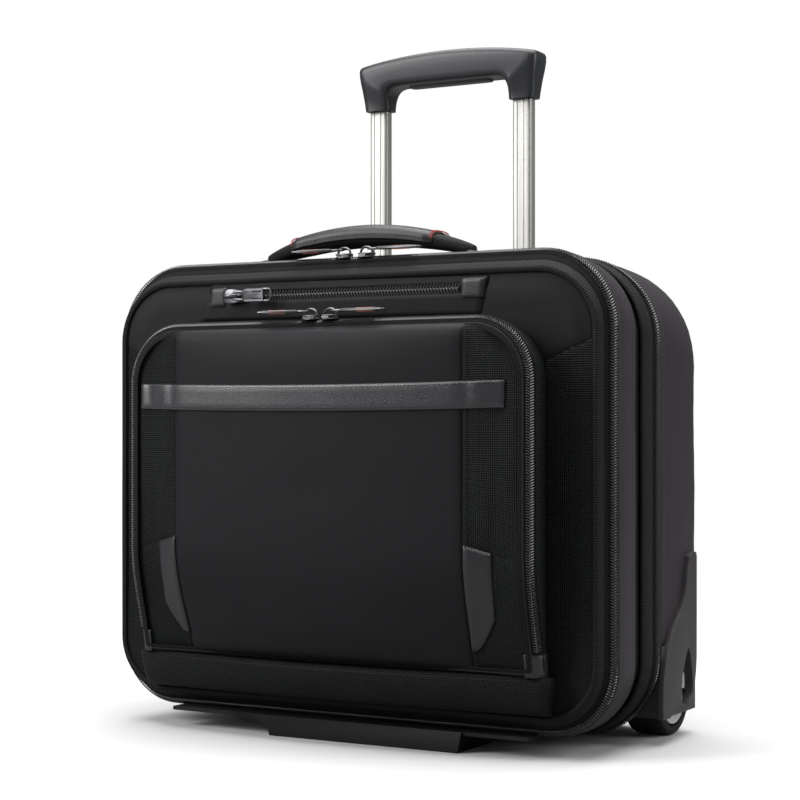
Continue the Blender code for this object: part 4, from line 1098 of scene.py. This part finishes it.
def pocket_zip(z):
    """The depth of the pocket's zipper."""
    return -(0.0175 + 0.0160 * fullness(z))


def pocket_flat(x, z):
    """The pocket's crowned middle panel and its side panels, which fall back to the zipper, as in the CAD."""
    across = min(abs(x) / 0.130, 1.0)
    crown = 0.005 + 0.012 * (1.0 - fullness(z))
    up = min(max((z - POCKET_SHAPE[1]) / 0.03, 0.0), 1.0) * min(max((POCKET_SHAPE[2] - z) / 0.03, 0.0), 1.0)
    middle = pocket_edge(z) - crown * (1.0 - across * across) * (0.5 + 0.5 * up)
    beyond = min(max((abs(x) - SEAM_X) / (POCKET_SHAPE[0] - SHOULDER - SEAM_X), 0.0), 1.0)
    return mix(middle, pocket_zip(z) - 1.6 * MM, 1.0 - (1.0 - beyond) ** 2)


def pocket_depth(x, z):
    """The pocket's face before it swells, with its rounded shoulder all round."""
    inner = inside_distance(POCKET_SHAPE, x, max(z, POCKET_SHAPE[1] + SHOULDER - 1.5 * (z - POCKET_SHAPE[1])))
    t = min(max((inner - 5.0 * MM) / (SHOULDER - 5.0 * MM), 0.0), 1.0)
    shoulder = math.sqrt(max(1.0 - (1.0 - t) ** 2, 0.0))
    return mix(pocket_zip(z) - 0.9 * MM, pocket_flat(x, z), shoulder)


def side_seam_z(x):
    """The seam across each side panel drops towards the outside."""
    return 0.1530 - 0.0095 * min(max((abs(x) - SEAM_X) / 0.033, 0.0), 1.2)


def centre_seam_x(z):
    """The seams beside the centre panel close up a little towards the foot."""
    return SEAM_X - 0.003 * smooth_step(1.0 - z / 0.15)


def make_pocket_face():
    """The pocket's face, swollen between its seams, in its smooth and woven panels."""
    shape = inset_shape(POCKET_SHAPE, 5.0 * MM)
    side_count, middle_count = 16, 76
    second_seam, last = side_count + middle_count, 2 * side_count + middle_count
    seam_start = side_seam_z(0.0)
    level = heights(shape, 3.0 * MM, (seam_start - 1.6 * MM, seam_start, seam_start + 1.6 * MM))
    seam_row = level.index(seam_start)
    rows = []
    for z in level:
        reach = half_width_at(shape, z)
        seam = min(centre_seam_x(z), reach - 3.0 * MM)
        xs = span(-reach, -seam, side_count)[:-1] + span(-seam, seam, middle_count)[:-1]
        xs += span(seam, reach, side_count)
        bend = max(1.0 - abs(z - seam_start) / 0.06, 0.0)
        points = [(x, z + (side_seam_z(x) - seam_start) * bend) for x in xs]
        rows.append([place(x, pocket_depth(x, z_here), z_here) for x, z_here in points])

    def on_side(c):
        return c < side_count or c > second_seam

    def pinned(r, c):
        return (r in (0, len(rows) - 1) or c in (0, 1, last - 1, last, side_count, second_seam)
                or (on_side(c) and r == seam_row))

    swollen = inflate(rows, pinned, 3.0, 2.2 * MM)
    for r, row in enumerate(swollen):
        for c, point in enumerate(row):
            dip = 0.8 * MM * math.exp(-(min(abs(c - side_count), abs(c - second_seam)) / 1.1) ** 2)
            if on_side(c):
                dip = max(dip, 0.8 * MM * math.exp(-(abs(level[r] - seam_start) / (1.4 * MM)) ** 2))
            point.y += dip + wobble(point.x, 8.0, point.z, 24.0, 0.35 * MM)
    for name, material, slot, first, final, replaced in (
            ("pocket_face_centre", "smooth", "smooth_fabric", side_count, second_seam, ["pocket_face"]),
            ("pocket_face_left", "woven", "woven_fabric", 0, side_count, ()),
            ("pocket_face_right", "woven", "woven_fabric", second_seam, last, ())):
        made = loft(name, "pocket_flap", material, slot, [row[first:final + 1] for row in swollen], replaced,
                    thickness=1.2 * MM, offset=-1.0)
    seams = [[row[c] + Vector((sign * 2.0 * MM, -0.35 * MM, 0)) for row in swollen[2:-2]]
             for c, sign in ((side_count, -1), (second_seam, 1))]
    seams += [[point + Vector((0, -0.3 * MM, 2.0 * MM)) for point in swollen[seam_row][first:final]]
              for first, final in ((3, side_count - 1), (second_seam + 1, last - 3))]
    sew("pocket_face_stitching", "pocket_flap", "smooth_fabric", seams, FORWARD)
    return swollen, level


def pocket_line(inset, depth):
    outline = rounded_outline(inset_shape(POCKET_SHAPE, inset), 14, 40, 50)
    return [place(x, depth(z), z) for x, z in outline]


def pocket_frame(direction):
    """The pocket zipper's frame: it faces half outwards and half to the front."""
    normal = Vector((direction.z, 0.0, -direction.x)).normalized()
    return (normal * 0.72 - Vector((0.0, 0.69, 0.0)), normal * 0.69 + Vector((0.0, 0.72, 0.0)))


def make_pocket_walls():
    """The pocket's side wall, its sloping tapes with coils, the face's piping and the zipper's ends."""
    wall = ((5.0, lambda z: 0.9 * MM), (3.4, lambda z: 0.12 * pocket_zip(z)),
            (1.4, lambda z: 0.35 * pocket_zip(z)), (0.3, lambda z: 0.6 * pocket_zip(z)),
            (-0.5, lambda z: pocket_zip(z) + 6.6 * MM), (0.4, lambda z: pocket_zip(z) + 5.2 * MM))
    loft("pocket_side_wall", "front_panel", "woven", "woven_fabric",
         [pocket_line(inset * MM, depth) for inset, depth in wall], ["pocket_gusset"], closed=True,
         thickness=1.4 * MM)
    for half, body, sign, reach in (("rear", "front_panel", 1, 3.2), ("front", "pocket_flap", -1, 4.6)):
        section = [(2.2 - sign * reach * t, sign * (0.15 + 0.9 * reach * t)) for t in (0.0, 0.5, 1.0)]
        section += [(section[2][0] + 2.6, section[2][1]), (section[0][0] + 2.6, section[0][1])]
        rows = [pocket_line(i * MM, lambda z, d=d: pocket_zip(z) + d * MM) for i, d in section]
        loft("pocket_zipper_tape_" + half, body, "tape", "zipper", rows, [f"pocket_zipper_{half}_tape"],
             closed=True, ring=True)
        piece = Piece()
        teeth(piece, pocket_line(1.9 * MM, lambda z: pocket_zip(z) - 0.3 * MM), pocket_frame, sign, 3.3 * MM,
              1.9 * MM, keep=lambda p: p.z > COIL_ABOVE)
        piece.make("pocket_zipper_teeth_" + half, body, "teeth", "zipper")
    piece = Piece()
    piece.tube(pocket_line(6.0 * MM, lambda z: pocket_zip(z) - 2.9 * MM), 1.2 * MM, sides=8, closed=True,
               up=-FORWARD)
    piece.make("pocket_edge_piping", "pocket_flap", "webbing", "piping_fabric")
    for side in (-1, 1):
        rows = []
        for t in (0.0, 0.06, 0.25, 0.5, 0.75, 0.94, 1.0):
            z = mix(0.0600, 0.0770, t)
            thick = 0.9 if 0.0 < t < 1.0 else 0.0
            section = ((-12.0, -1.2), (-11.0, -3.4 - thick), (-5.0, -2.8 - thick), (-0.6 + thick, 1.6),
                       (0.4 + thick, 7.0), (-0.4, 12.0))
            rows.append([place(side * (POCKET_SHAPE[0] + (outwards - 0.2) * MM), pocket_zip(z) + back * MM, z)
                         for outwards, back in section])
        loft("pocket_zip_end_" + side_name(side), "front_panel", "leather", "leather", rows,
             thickness=0.8 * MM)


def face_height(swollen, level):
    """Looks up the swollen pocket face's place at (x, z)."""
    def at(x, z):
        index = min(max(bisect.bisect_left(level, z), 1), len(level) - 1)
        t = (z - level[index - 1]) / (level[index] - level[index - 1])
        values = []
        for row in (swollen[index - 1], swollen[index]):
            xs = [p.x for p in row]
            k = min(max(bisect.bisect_left(xs, x), 1), len(xs) - 1)
            s = (x - xs[k - 1]) / (xs[k] - xs[k - 1])
            values.append(mix(row[k - 1].y, row[k].y, min(max(s, 0.0), 1.0)))
        return mix(values[0], values[1], min(max(t, 0.0), 1.0))
    return at


def make_pocket_trims(at):
    """The leather stripe with its stitching, and the two corner pieces; each has a turned edge."""
    def skin(name, material, places, lift, replaced):
        rows = []
        for r, row in enumerate(places):
            edges = [min(r, len(places) - 1 - r, c, len(row) - 1 - c) for c in range(len(row))]
            rows.append([Vector((x, at(x, z) - (0.1 if edge == 0 else 0.75 if edge == 1 else 1.0) * lift, z))
                         for edge, (x, z) in zip(edges, row)])
        loft(name, "pocket_flap", material, "leather", rows, [replaced], thickness=0.7 * MM, offset=1.0)

    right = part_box("leather_stripe")[1].x + 0.6 * MM
    left = right + 7.0 * MM
    columns = [-left, -left + 0.6 * MM, *span(-left + 3 * MM, right - 3 * MM, 100), right - 0.6 * MM, right]
    low, tall = 0.2472, 0.0190

    def stripe_z(x, t):
        """The stripe curves up a little towards its ends."""
        return low + 0.0021 * (x / right) ** 2 + tall * t

    places = [[(x, stripe_z(x, t)) for x in columns]
              for t in (0.0, 0.04, 0.12, 0.3, 0.5, 0.7, 0.88, 0.96, 1.0)]
    skin("leather_band", "stripe", places, 1.5 * MM, "leather_stripe")
    seams = [[Vector((x, at(x, low + tall * t) - 2.15 * MM, stripe_z(x, t))) for x in columns[3:-3]]
             for t in (0.09, 0.91)]
    sew("leather_band_stitching", "pocket_flap", "leather", seams, FORWARD, pitch=3.0 * MM, length=2.2 * MM,
        radius=0.22 * MM)
    levels = [0.0765 + 0.0735 * i / 24.0 for i in range(25)]
    for side in (-1, 1):
        places = []
        for z in levels:
            t = (z - levels[0]) / (levels[-1] - levels[0])
            inner = centre_seam_x(z) + 0.4 * MM
            outer = inner + 0.0015 + 0.0175 * min(1.0, 3.0 * t) ** 0.65
            xs = [mix(inner, outer, k) for k in (0.0, 0.06, 0.2, 0.4, 0.6, 0.8, 0.94, 1.0)][::side]
            places.append([(side * x, z + t * (side_seam_z(x) - levels[-1])) for x in xs])
        word = side_name(side)
        skin("leather_corner_" + word, "leather", places, 1.2 * MM, "pocket_corner_tab_" + word)


# ---- carry handle -------------------------------------------------------------------------------
def handle_oval(x, grow, start, end, steps, y):
    """Part of the handle's section at x, from angle start to end in degrees, grown all round."""
    rise = max(1.0 - (x / HANDLE_HALF) ** 2, 0.0)
    middle = HANDLE_Z + 0.0137 * rise
    half_height = 0.0036 + 0.0039 * rise ** 0.7 + grow
    half_width = 0.0040 + 0.0110 * min(1.0, 1.6 * rise) + grow
    points = []
    for i in range(steps + 1):
        a = math.radians(mix(start, end, i / steps))
        c, s = math.cos(a), math.sin(a)
        points.append(Vector((x, y + half_width * math.copysign(abs(c) ** 0.6, c),
                              middle + half_height * math.copysign(abs(s) ** 0.8, s))))
    return points


def make_carry_handle():
    low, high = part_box("carry_handle_core")
    y = (low.y + high.y) / 2
    sleeve_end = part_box("carry_handle_sleeve")[1].x
    core = loft("carry_handle_pad", "carry_handle", "webbing", "piping_fabric",
                [handle_oval(x, 0.0, 0, 360 - 360 / 28, 27, y) for x in span(low.x, high.x, 72)],
                ["carry_handle_core"], closed=True, caps=True)
    rows = []
    for i, x in enumerate(span(-sleeve_end, sleeve_end, 56)):
        edge = min(i, 56 - i)
        lift = (0.9, 1.5)[edge] * MM if edge < 2 else 1.8 * MM
        rows.append(handle_oval(x, lift, -8, 188, 26, y) + handle_oval(x, 0.5 * MM, 188, -8, 26, y))
    loft("carry_handle_leather", "carry_handle", "leather", "leather", rows, ["carry_handle_sleeve"],
         closed=True, caps=True)
    seams = [handle_oval(side * (sleeve_end - 1.0 * MM) + offset, 1.95 * MM, 8, 172, 60, y)
             for side in (-1, 1) for offset in (0.0, side * 1.6 * MM)]
    sew("carry_handle_red_stitching", "carry_handle", "leather", seams, UP, "red_thread", pitch=2.6 * MM,
        length=2.3 * MM, radius=0.42 * MM)
    piece = Piece()
    for angle, out in ((4, -FORWARD), (176, FORWARD)):
        line = [handle_oval(x, 1.85 * MM, angle, angle, 1, y)[0]
                for x in span(-sleeve_end + 4 * MM, sleeve_end - 4 * MM, 60)]
        stitches(piece, line, out, radius=0.3 * MM)
    piece.make("carry_handle_side_stitching", "carry_handle", "thread", "leather")
    for side in (-1, 1):
        name = "handle_anchor_" + side_name(side)
        low_here, high_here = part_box(name)
        rows = []
        for s in span(0.0, 1.0, 12):
            x = mix(low_here.x, high_here.x, s)
            row = []
            for t in span(0.0, 1.0, 12):
                depth = mix(low_here.y, high_here.y, t)
                hump = smooth_step(1.0 - abs(x - side * high.x) / 0.006)
                hump *= smooth_step((0.011 - abs(depth - y)) / 0.004)
                rise = 0.2 * MM + 1.4 * MM * swell(min(s, 1 - s, t, 1 - t), 6) + 2.6 * MM * hump
                row.append(Vector((x, depth, low_here.z + rise)))
            rows.append(row)
        loft("handle_patch_" + side_name(side), "front_section", "leather", "leather", rows, [name],
             thickness=0.8 * MM, offset=1.0)


# ---- trolley ------------------------------------------------------------------------------------
def tube_section(half_x, half_y, corner, groove=0.0):
    """A rounded rectangle, with two shallow grooves down each wide face where groove is given."""
    points = []
    for sx, sy, start in ((1, -1, -90), (1, 1, 0), (-1, 1, 90), (-1, -1, 180)):
        for a in (math.radians(start + 22.5 * i) for i in range(5)):
            points.append((sx * (half_x - corner) + corner * math.cos(a),
                           sy * (half_y - corner) + corner * math.sin(a)))
        if groove and sx == sy:
            points += [(-sx * (middle + step) * half_x, sy * (half_y - groove * depth))
                       for middle in (-0.36, 0.36)
                       for step, depth in ((-0.12, 0.0), (-0.09, 1.0), (0.09, 1.0), (0.12, 0.0))]
    return points


def make_tubes():
    for side in (-1, 1):
        for stage, body, groove in (("trolley_channel", "case", 0.0),
                                    ("trolley_middle_tube", "trolley_middle", 0.5 * MM),
                                    ("trolley_upper_tube", "trolley_upper", 0.5 * MM)):
            name = stage + "_" + side_name(side)
            low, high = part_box(name)
            middle = (low + high) / 2
            half_x, half_y = (high.x - low.x) / 2, (high.y - low.y) / 2
            outer = tube_section(half_x, half_y, 2.4 * MM, groove)
            inner = tube_section(half_x - TUBE_WALL, half_y - TUBE_WALL, 1.4 * MM, groove)
            sections = ((low.z, outer, 1.0), (high.z - 0.4 * MM, outer, 1.0), (high.z, outer, 0.96),
                        (high.z, inner, 1.0), (low.z, inner, 1.0))
            rows = [[Vector((middle.x + x * shrink, middle.y + y * shrink, z)) for x, y in section]
                    for z, section, shrink in sections]
            loft(name.replace("tube", "rail") if "tube" in name else name + "_rail", body, "aluminium",
                 "tube_aluminium", rows, [name], closed=True, ring=True, angle=32.0)


def soft_copy(name, new_name, body, material, width):
    """A CAD node's shape with its edges rounded."""
    mesh = frame["nodes"][name].data.copy()
    mesh.materials.clear()
    mesh.materials.append(MATERIALS[material])
    bm = bmesh.new()
    bm.from_mesh(mesh)
    bmesh.ops.remove_doubles(bm, verts=bm.verts, dist=1e-6)
    bmesh.ops.dissolve_limit(bm, angle_limit=math.radians(1.0), verts=bm.verts, edges=bm.edges)
    bm.to_mesh(mesh)
    bm.free()
    mesh.shade_smooth()
    copy = add_object(new_name, mesh)
    round_edges(copy, width, 30.0, harden=True)
    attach(copy, body)
    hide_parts(name)


def grip_paths(low, high, half):
    """The grip's inner and outer lines, (x, z), from the middle of the bow to the foot of its right leg."""
    underside, inner_x, bend = 0.5185, 0.0560, 0.010
    inner = [(x, underside) for x in span(0.0, inner_x - bend, 9)[:-1]]
    inner += [(inner_x - bend + bend * math.sin(a), underside - bend + bend * math.cos(a))
              for a in (math.radians(9.0 * i) for i in range(11))]
    inner += [(inner_x, z) for z in span(underside - bend, low.z, 3)[1:]]
    outer = [(x, high.z - 0.0078 * (x / half) ** 2) for x in span(0.0, 0.066, 11)]
    outer += [(0.0715, 0.53920), (0.0765, 0.53830), (0.0800, 0.53750), (0.0820, 0.53640), (0.0829, 0.53430),
              (0.0828, 0.53000), (0.0820, 0.52400), (0.0810, 0.51850)]
    outer += list(zip(span(0.0810, 0.0785, 3), span(0.5185, low.z, 3)))[1:]
    return [[(-x, z) for x, z in line[:0:-1]] + line for line in (inner, outer)]


def make_grip():
    """The arched handgrip, lofted from rounded sections along its bow, and its button."""
    low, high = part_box("trolley_grip")
    middle_y = (low.y + high.y) / 2
    half_depth = (high.y - low.y) / 2
    rows = []
    for (ax, az), (bx, bz) in zip(*grip_paths(low, high, high.x)):
        depth = half_depth * mix(0.66, 1.0, smooth_step((az + bz - 2.0 * low.z) / 0.050))
        middle = Vector(((ax + bx) / 2, middle_y, (az + bz) / 2))
        reach = Vector((bx - ax, 0.0, bz - az)) / 2
        size, way = reach.length, reach.normalized()
        row = []
        for a in (2 * math.pi * k / 40 for k in range(40)):
            c, s = math.cos(a), math.sin(a)
            row.append(middle + Vector((0, depth * math.copysign(abs(c) ** 0.42, c), 0))
                       + way * size * math.copysign(abs(s) ** 0.42, s))
        rows.append(row)
    loft("trolley_handgrip", "trolley_upper", "grip", "grip_plastic", rows, ["trolley_grip"], closed=True,
         caps=True, angle=60.0)
    low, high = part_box("grip_release_button")
    rows = []
    for z, inset in ((high.z - 3 * MM, 0.0), (low.z + 0.9 * MM, 0.0), (low.z + 0.2 * MM, 0.5 * MM),
                     (low.z, 1.4 * MM)):
        section = tube_section(high.x - inset, (high.y - low.y) / 2 - inset, 4.0 * MM - inset)
        rows.append([Vector((x, middle_y + y, z)) for x, y in section])
    loft("grip_button_cap", "grip_button", "housing", "housing_plastic", rows, ["grip_release_button"],
         closed=True, caps=True)


# ---- wheels -------------------------------------------------------------------------------------
def turned_piece(name, profile, centre, body, material, slot, replaced):
    """A solid turned about X from a closed profile of (radius, x)."""
    soft = rounded(profile, 1)
    rows = [[centre + Vector((x, radius * math.cos(a), radius * math.sin(a))) for radius, x in soft]
            for a in (2 * math.pi * k / 64 for k in range(64))]
    loft(name, body, material, slot, rows, [replaced], closed=True, ring=True, angle=35.0)


def make_wheels():
    for side in (-1, 1):
        word = side_name(side)
        low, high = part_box("wheel_tyre_" + word)
        centre = (low + high) / 2
        half = (high.x - low.x) / 2
        radius = (high.z - low.z) / 2
        tyre = [(0.0246, -half + 0.4 * MM), (0.0300, -half), (radius - 0.6 * MM, -half + 1.6 * MM),
                (radius, -half + 5 * MM), (radius, -0.9 * MM), (radius - 0.8 * MM, -0.3 * MM)]
        tyre += [(r, -x) for r, x in tyre[::-1]]
        turned_piece("tyre_" + word, tyre, centre, "wheel_" + word, "tyre", "tyre_rubber",
                     "wheel_tyre_" + word)
        hub = [(0.0046, -half + 0.3 * MM), (0.0090, -half + 0.3 * MM), (0.0100, -half + 2 * MM),
               (0.0200, -half + 2 * MM), (0.0215, -half + 0.6 * MM), (0.0243, -half + 0.6 * MM),
               (0.0243, half - 0.6 * MM), (0.0215, half - 0.6 * MM), (0.0200, half - 2.0 * MM),
               (0.0100, half - 2.0 * MM), (0.0088, half - 0.3 * MM), (0.0046, half - 0.3 * MM)]
        # the hub colour is its light grey lifted further as painted light for the shaded wheel well
        turned_piece("hub_" + word, hub, centre, "wheel_" + word, "hub", "hub_plastic", "wheel_hub_" + word)
        piece = Piece()
        for a in (2 * math.pi * k / 6 for k in range(6)):
            radial, across = Vector((0, math.cos(a), math.sin(a))), Vector((0, -math.sin(a), math.cos(a)))
            for face in (-1, 1):
                x_out = face * (half - 1.6 * MM)
                piece.rows([[centre + radial * r + across * (s * MM)
                             + Vector((x_out - face * (1 - h) * 4.4 * MM, 0, 0))
                             for s, h in ((-1.3, 0.0), (-0.9, 1.0), (0.9, 1.0), (1.3, 0.0))]
                            for r in (0.0086, 0.0140, 0.0212)])
        piece.make("hub_ribs_" + word, "wheel_" + word, "hub", "hub_plastic", thickness=0.4 * MM)
        soft_copy("wheel_housing_" + word, "wheel_guard_" + word, "case", "housing",
                  0.9 * MM)


# ---- zipper sliders and pulls -------------------------------------------------------------------
def make_sliders():
    for name, (along, out, accent) in SLIDERS.items():
        low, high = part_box(name)
        t, n = Vector(along), Vector(out)
        w = n.cross(t)
        size = high - low
        scale = abs(size.dot(t)) / SLIDER_LENGTH
        base = (low + high) / 2 - n * (abs(size.dot(n)) / 2)

        def at(a, b, c):
            """A place in the slider's own millimetres: along it, across it and out of the cloth."""
            return base + t * (a * MM * scale) + w * (b * MM * scale) + n * (c * MM * scale)

        def plate(piece, outline, levels):
            piece.rows([[at(a, b, c) for a, b in outline] for c in levels], closed=True, caps=True)

        piece = Piece()
        half = [(-6.8, 2.2), (-6.2, 3.4), (-4.0, 4.4), (-1.0, 4.3), (2.0, 3.7), (4.8, 3.4), (6.2, 2.4),
                (6.8, 0.9)]
        full = half + [(a, -b) for a, b in half[::-1]]
        for bottom, top in ((0.0, 1.1), (2.3, 3.4)):
            levels = ((bottom, 0.93), (bottom + 0.2, 1.0), (top - 0.25, 1.0), (top, 0.93))
            piece.rows([[at(a * shrink, b * shrink, c) for a, b in full] for c, shrink in levels],
                       closed=True, caps=True)
        plate(piece, ((3.0, -1.0), (6.4, -0.5), (6.4, 0.5), (3.0, 1.0)), (0.9, 2.5))
        for sign in (-1, 1):
            plate(piece, ((-5.8, sign * 3.1), (0.5, sign * 3.7), (0.5, sign * 4.2), (-5.6, sign * 3.9)),
                  (0.9, 2.5))
        arch = [at(-0.3 + 5.3 * math.cos(math.radians(a)), 0.0, 3.0 + 5.0 * math.sin(math.radians(a)) ** 0.8)
                for a in span(180, 0, 16)]
        piece.tube(arch, 1.25 * MM * scale, sides=10, flat=0.62, up=n)
        piece.make(name + "_body", name, "gunmetal", "slider_metal", [name], angle=40.0)

        pull = name.replace("slider", "pull")
        pull_low, pull_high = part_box(pull)
        length = ((pull_high if t.x > 0 else pull_low) - base).dot(t) / MM / scale
        start, end = 9.2, length - 5.4
        middle = (start + end) / 2
        piece = Piece()
        loop = [(2.2, -2.0), (1.2, -1.2), (1.0, 0.0), (1.2, 1.2), (2.2, 2.0), (6.5, 2.3), (10.0, 2.4),
                (10.0, 0.0), (10.0, -2.4), (6.5, -2.3)]
        piece.tube([at(a, b, HINGE_HEIGHT) for a, b in loop], 0.75 * MM * scale, sides=8, closed=True, up=n)
        outline = [(start, -2.9), (start + 1.6, -3.9), (end, -4.0), (end, 4.0), (start + 1.6, 3.9),
                   (start, 2.9)]
        levels = ((-0.9, 0.35), (-0.6, 0.0), (0.6, 0.0), (0.9, 0.35))
        piece.rows([[at(middle + (a - middle) * (1 - inset / 8), b * (1 - inset / 4), HINGE_HEIGHT + c)
                     for a, b in outline] for c, inset in levels], closed=True, caps=True)
        for sign in (-1, 1):
            plate(piece, ((start + 1.5, sign * 2.6), (end, sign * 2.6), (end, sign * 3.6),
                          (start + 1.5, sign * 3.5)), (HINGE_HEIGHT + 0.8, HINGE_HEIGHT + 1.15))
        end_loop = [(end - 0.3, -3.5), (length - 1.6, -3.4), (length - 0.7, -2.4), (length - 0.6, 0.0),
                    (length - 0.7, 2.4), (length - 1.6, 3.4), (end - 0.3, 3.5)]
        piece.tube([at(a, b, HINGE_HEIGHT) for a, b in end_loop], 0.72 * MM * scale, sides=8, up=n)
        piece.make(pull + "_tab", pull, "gunmetal", "slider_metal", [pull], angle=40.0)

        piece = Piece()
        if accent:
            near, far = mix(start, end, 0.42), mix(start, end, 0.88)
            plate(piece, ((near, -1.5), (far, -1.5), (far, 1.5), (near, 1.5)),
                  (HINGE_HEIGHT - 1.35, HINGE_HEIGHT + 1.45))
        else:
            near, far = mix(start, end, 0.45), end - 1.0
            for sign in (-1, 1):
                plate(piece, ((near, sign * 1.7), (far, sign * 1.7), (far, sign * 2.4), (near, sign * 2.4)),
                      (HINGE_HEIGHT + 0.7, HINGE_HEIGHT + 1.02))
        piece.make(pull + "_inlay", pull, "accent" if accent else "tyre", "slider_metal", bevel=0.15 * MM)


# ---- moulded base -------------------------------------------------------------------------------
def make_base():
    soft_copy("front_foot", "front_foot_block", "front_section", "foot", 0.8 * MM)
    soft_copy("base_flange", "base_plate", "front_section", "tyre", 0.6 * MM)
    soft_copy("trolley_bezel", "trolley_bezel_cover", "case", "housing", 0.7 * MM)
    soft_copy("trolley_bottom_bracket", "trolley_bracket_block", "case", "housing",
              0.3 * MM)


make_camera()
make_stage()
dress_cad_nodes()
make_rear_shell()
make_body_zippers()
make_front_section()
make_laptop_sleeve()
make_front_panel()
make_upper_pocket()
make_bottom_strip()
swollen_face, face_levels = make_pocket_face()
make_pocket_walls()
make_pocket_trims(face_height(swollen_face, face_levels))
make_carry_handle()
make_tubes()
make_grip()
make_wheels()
make_sliders()
make_base()
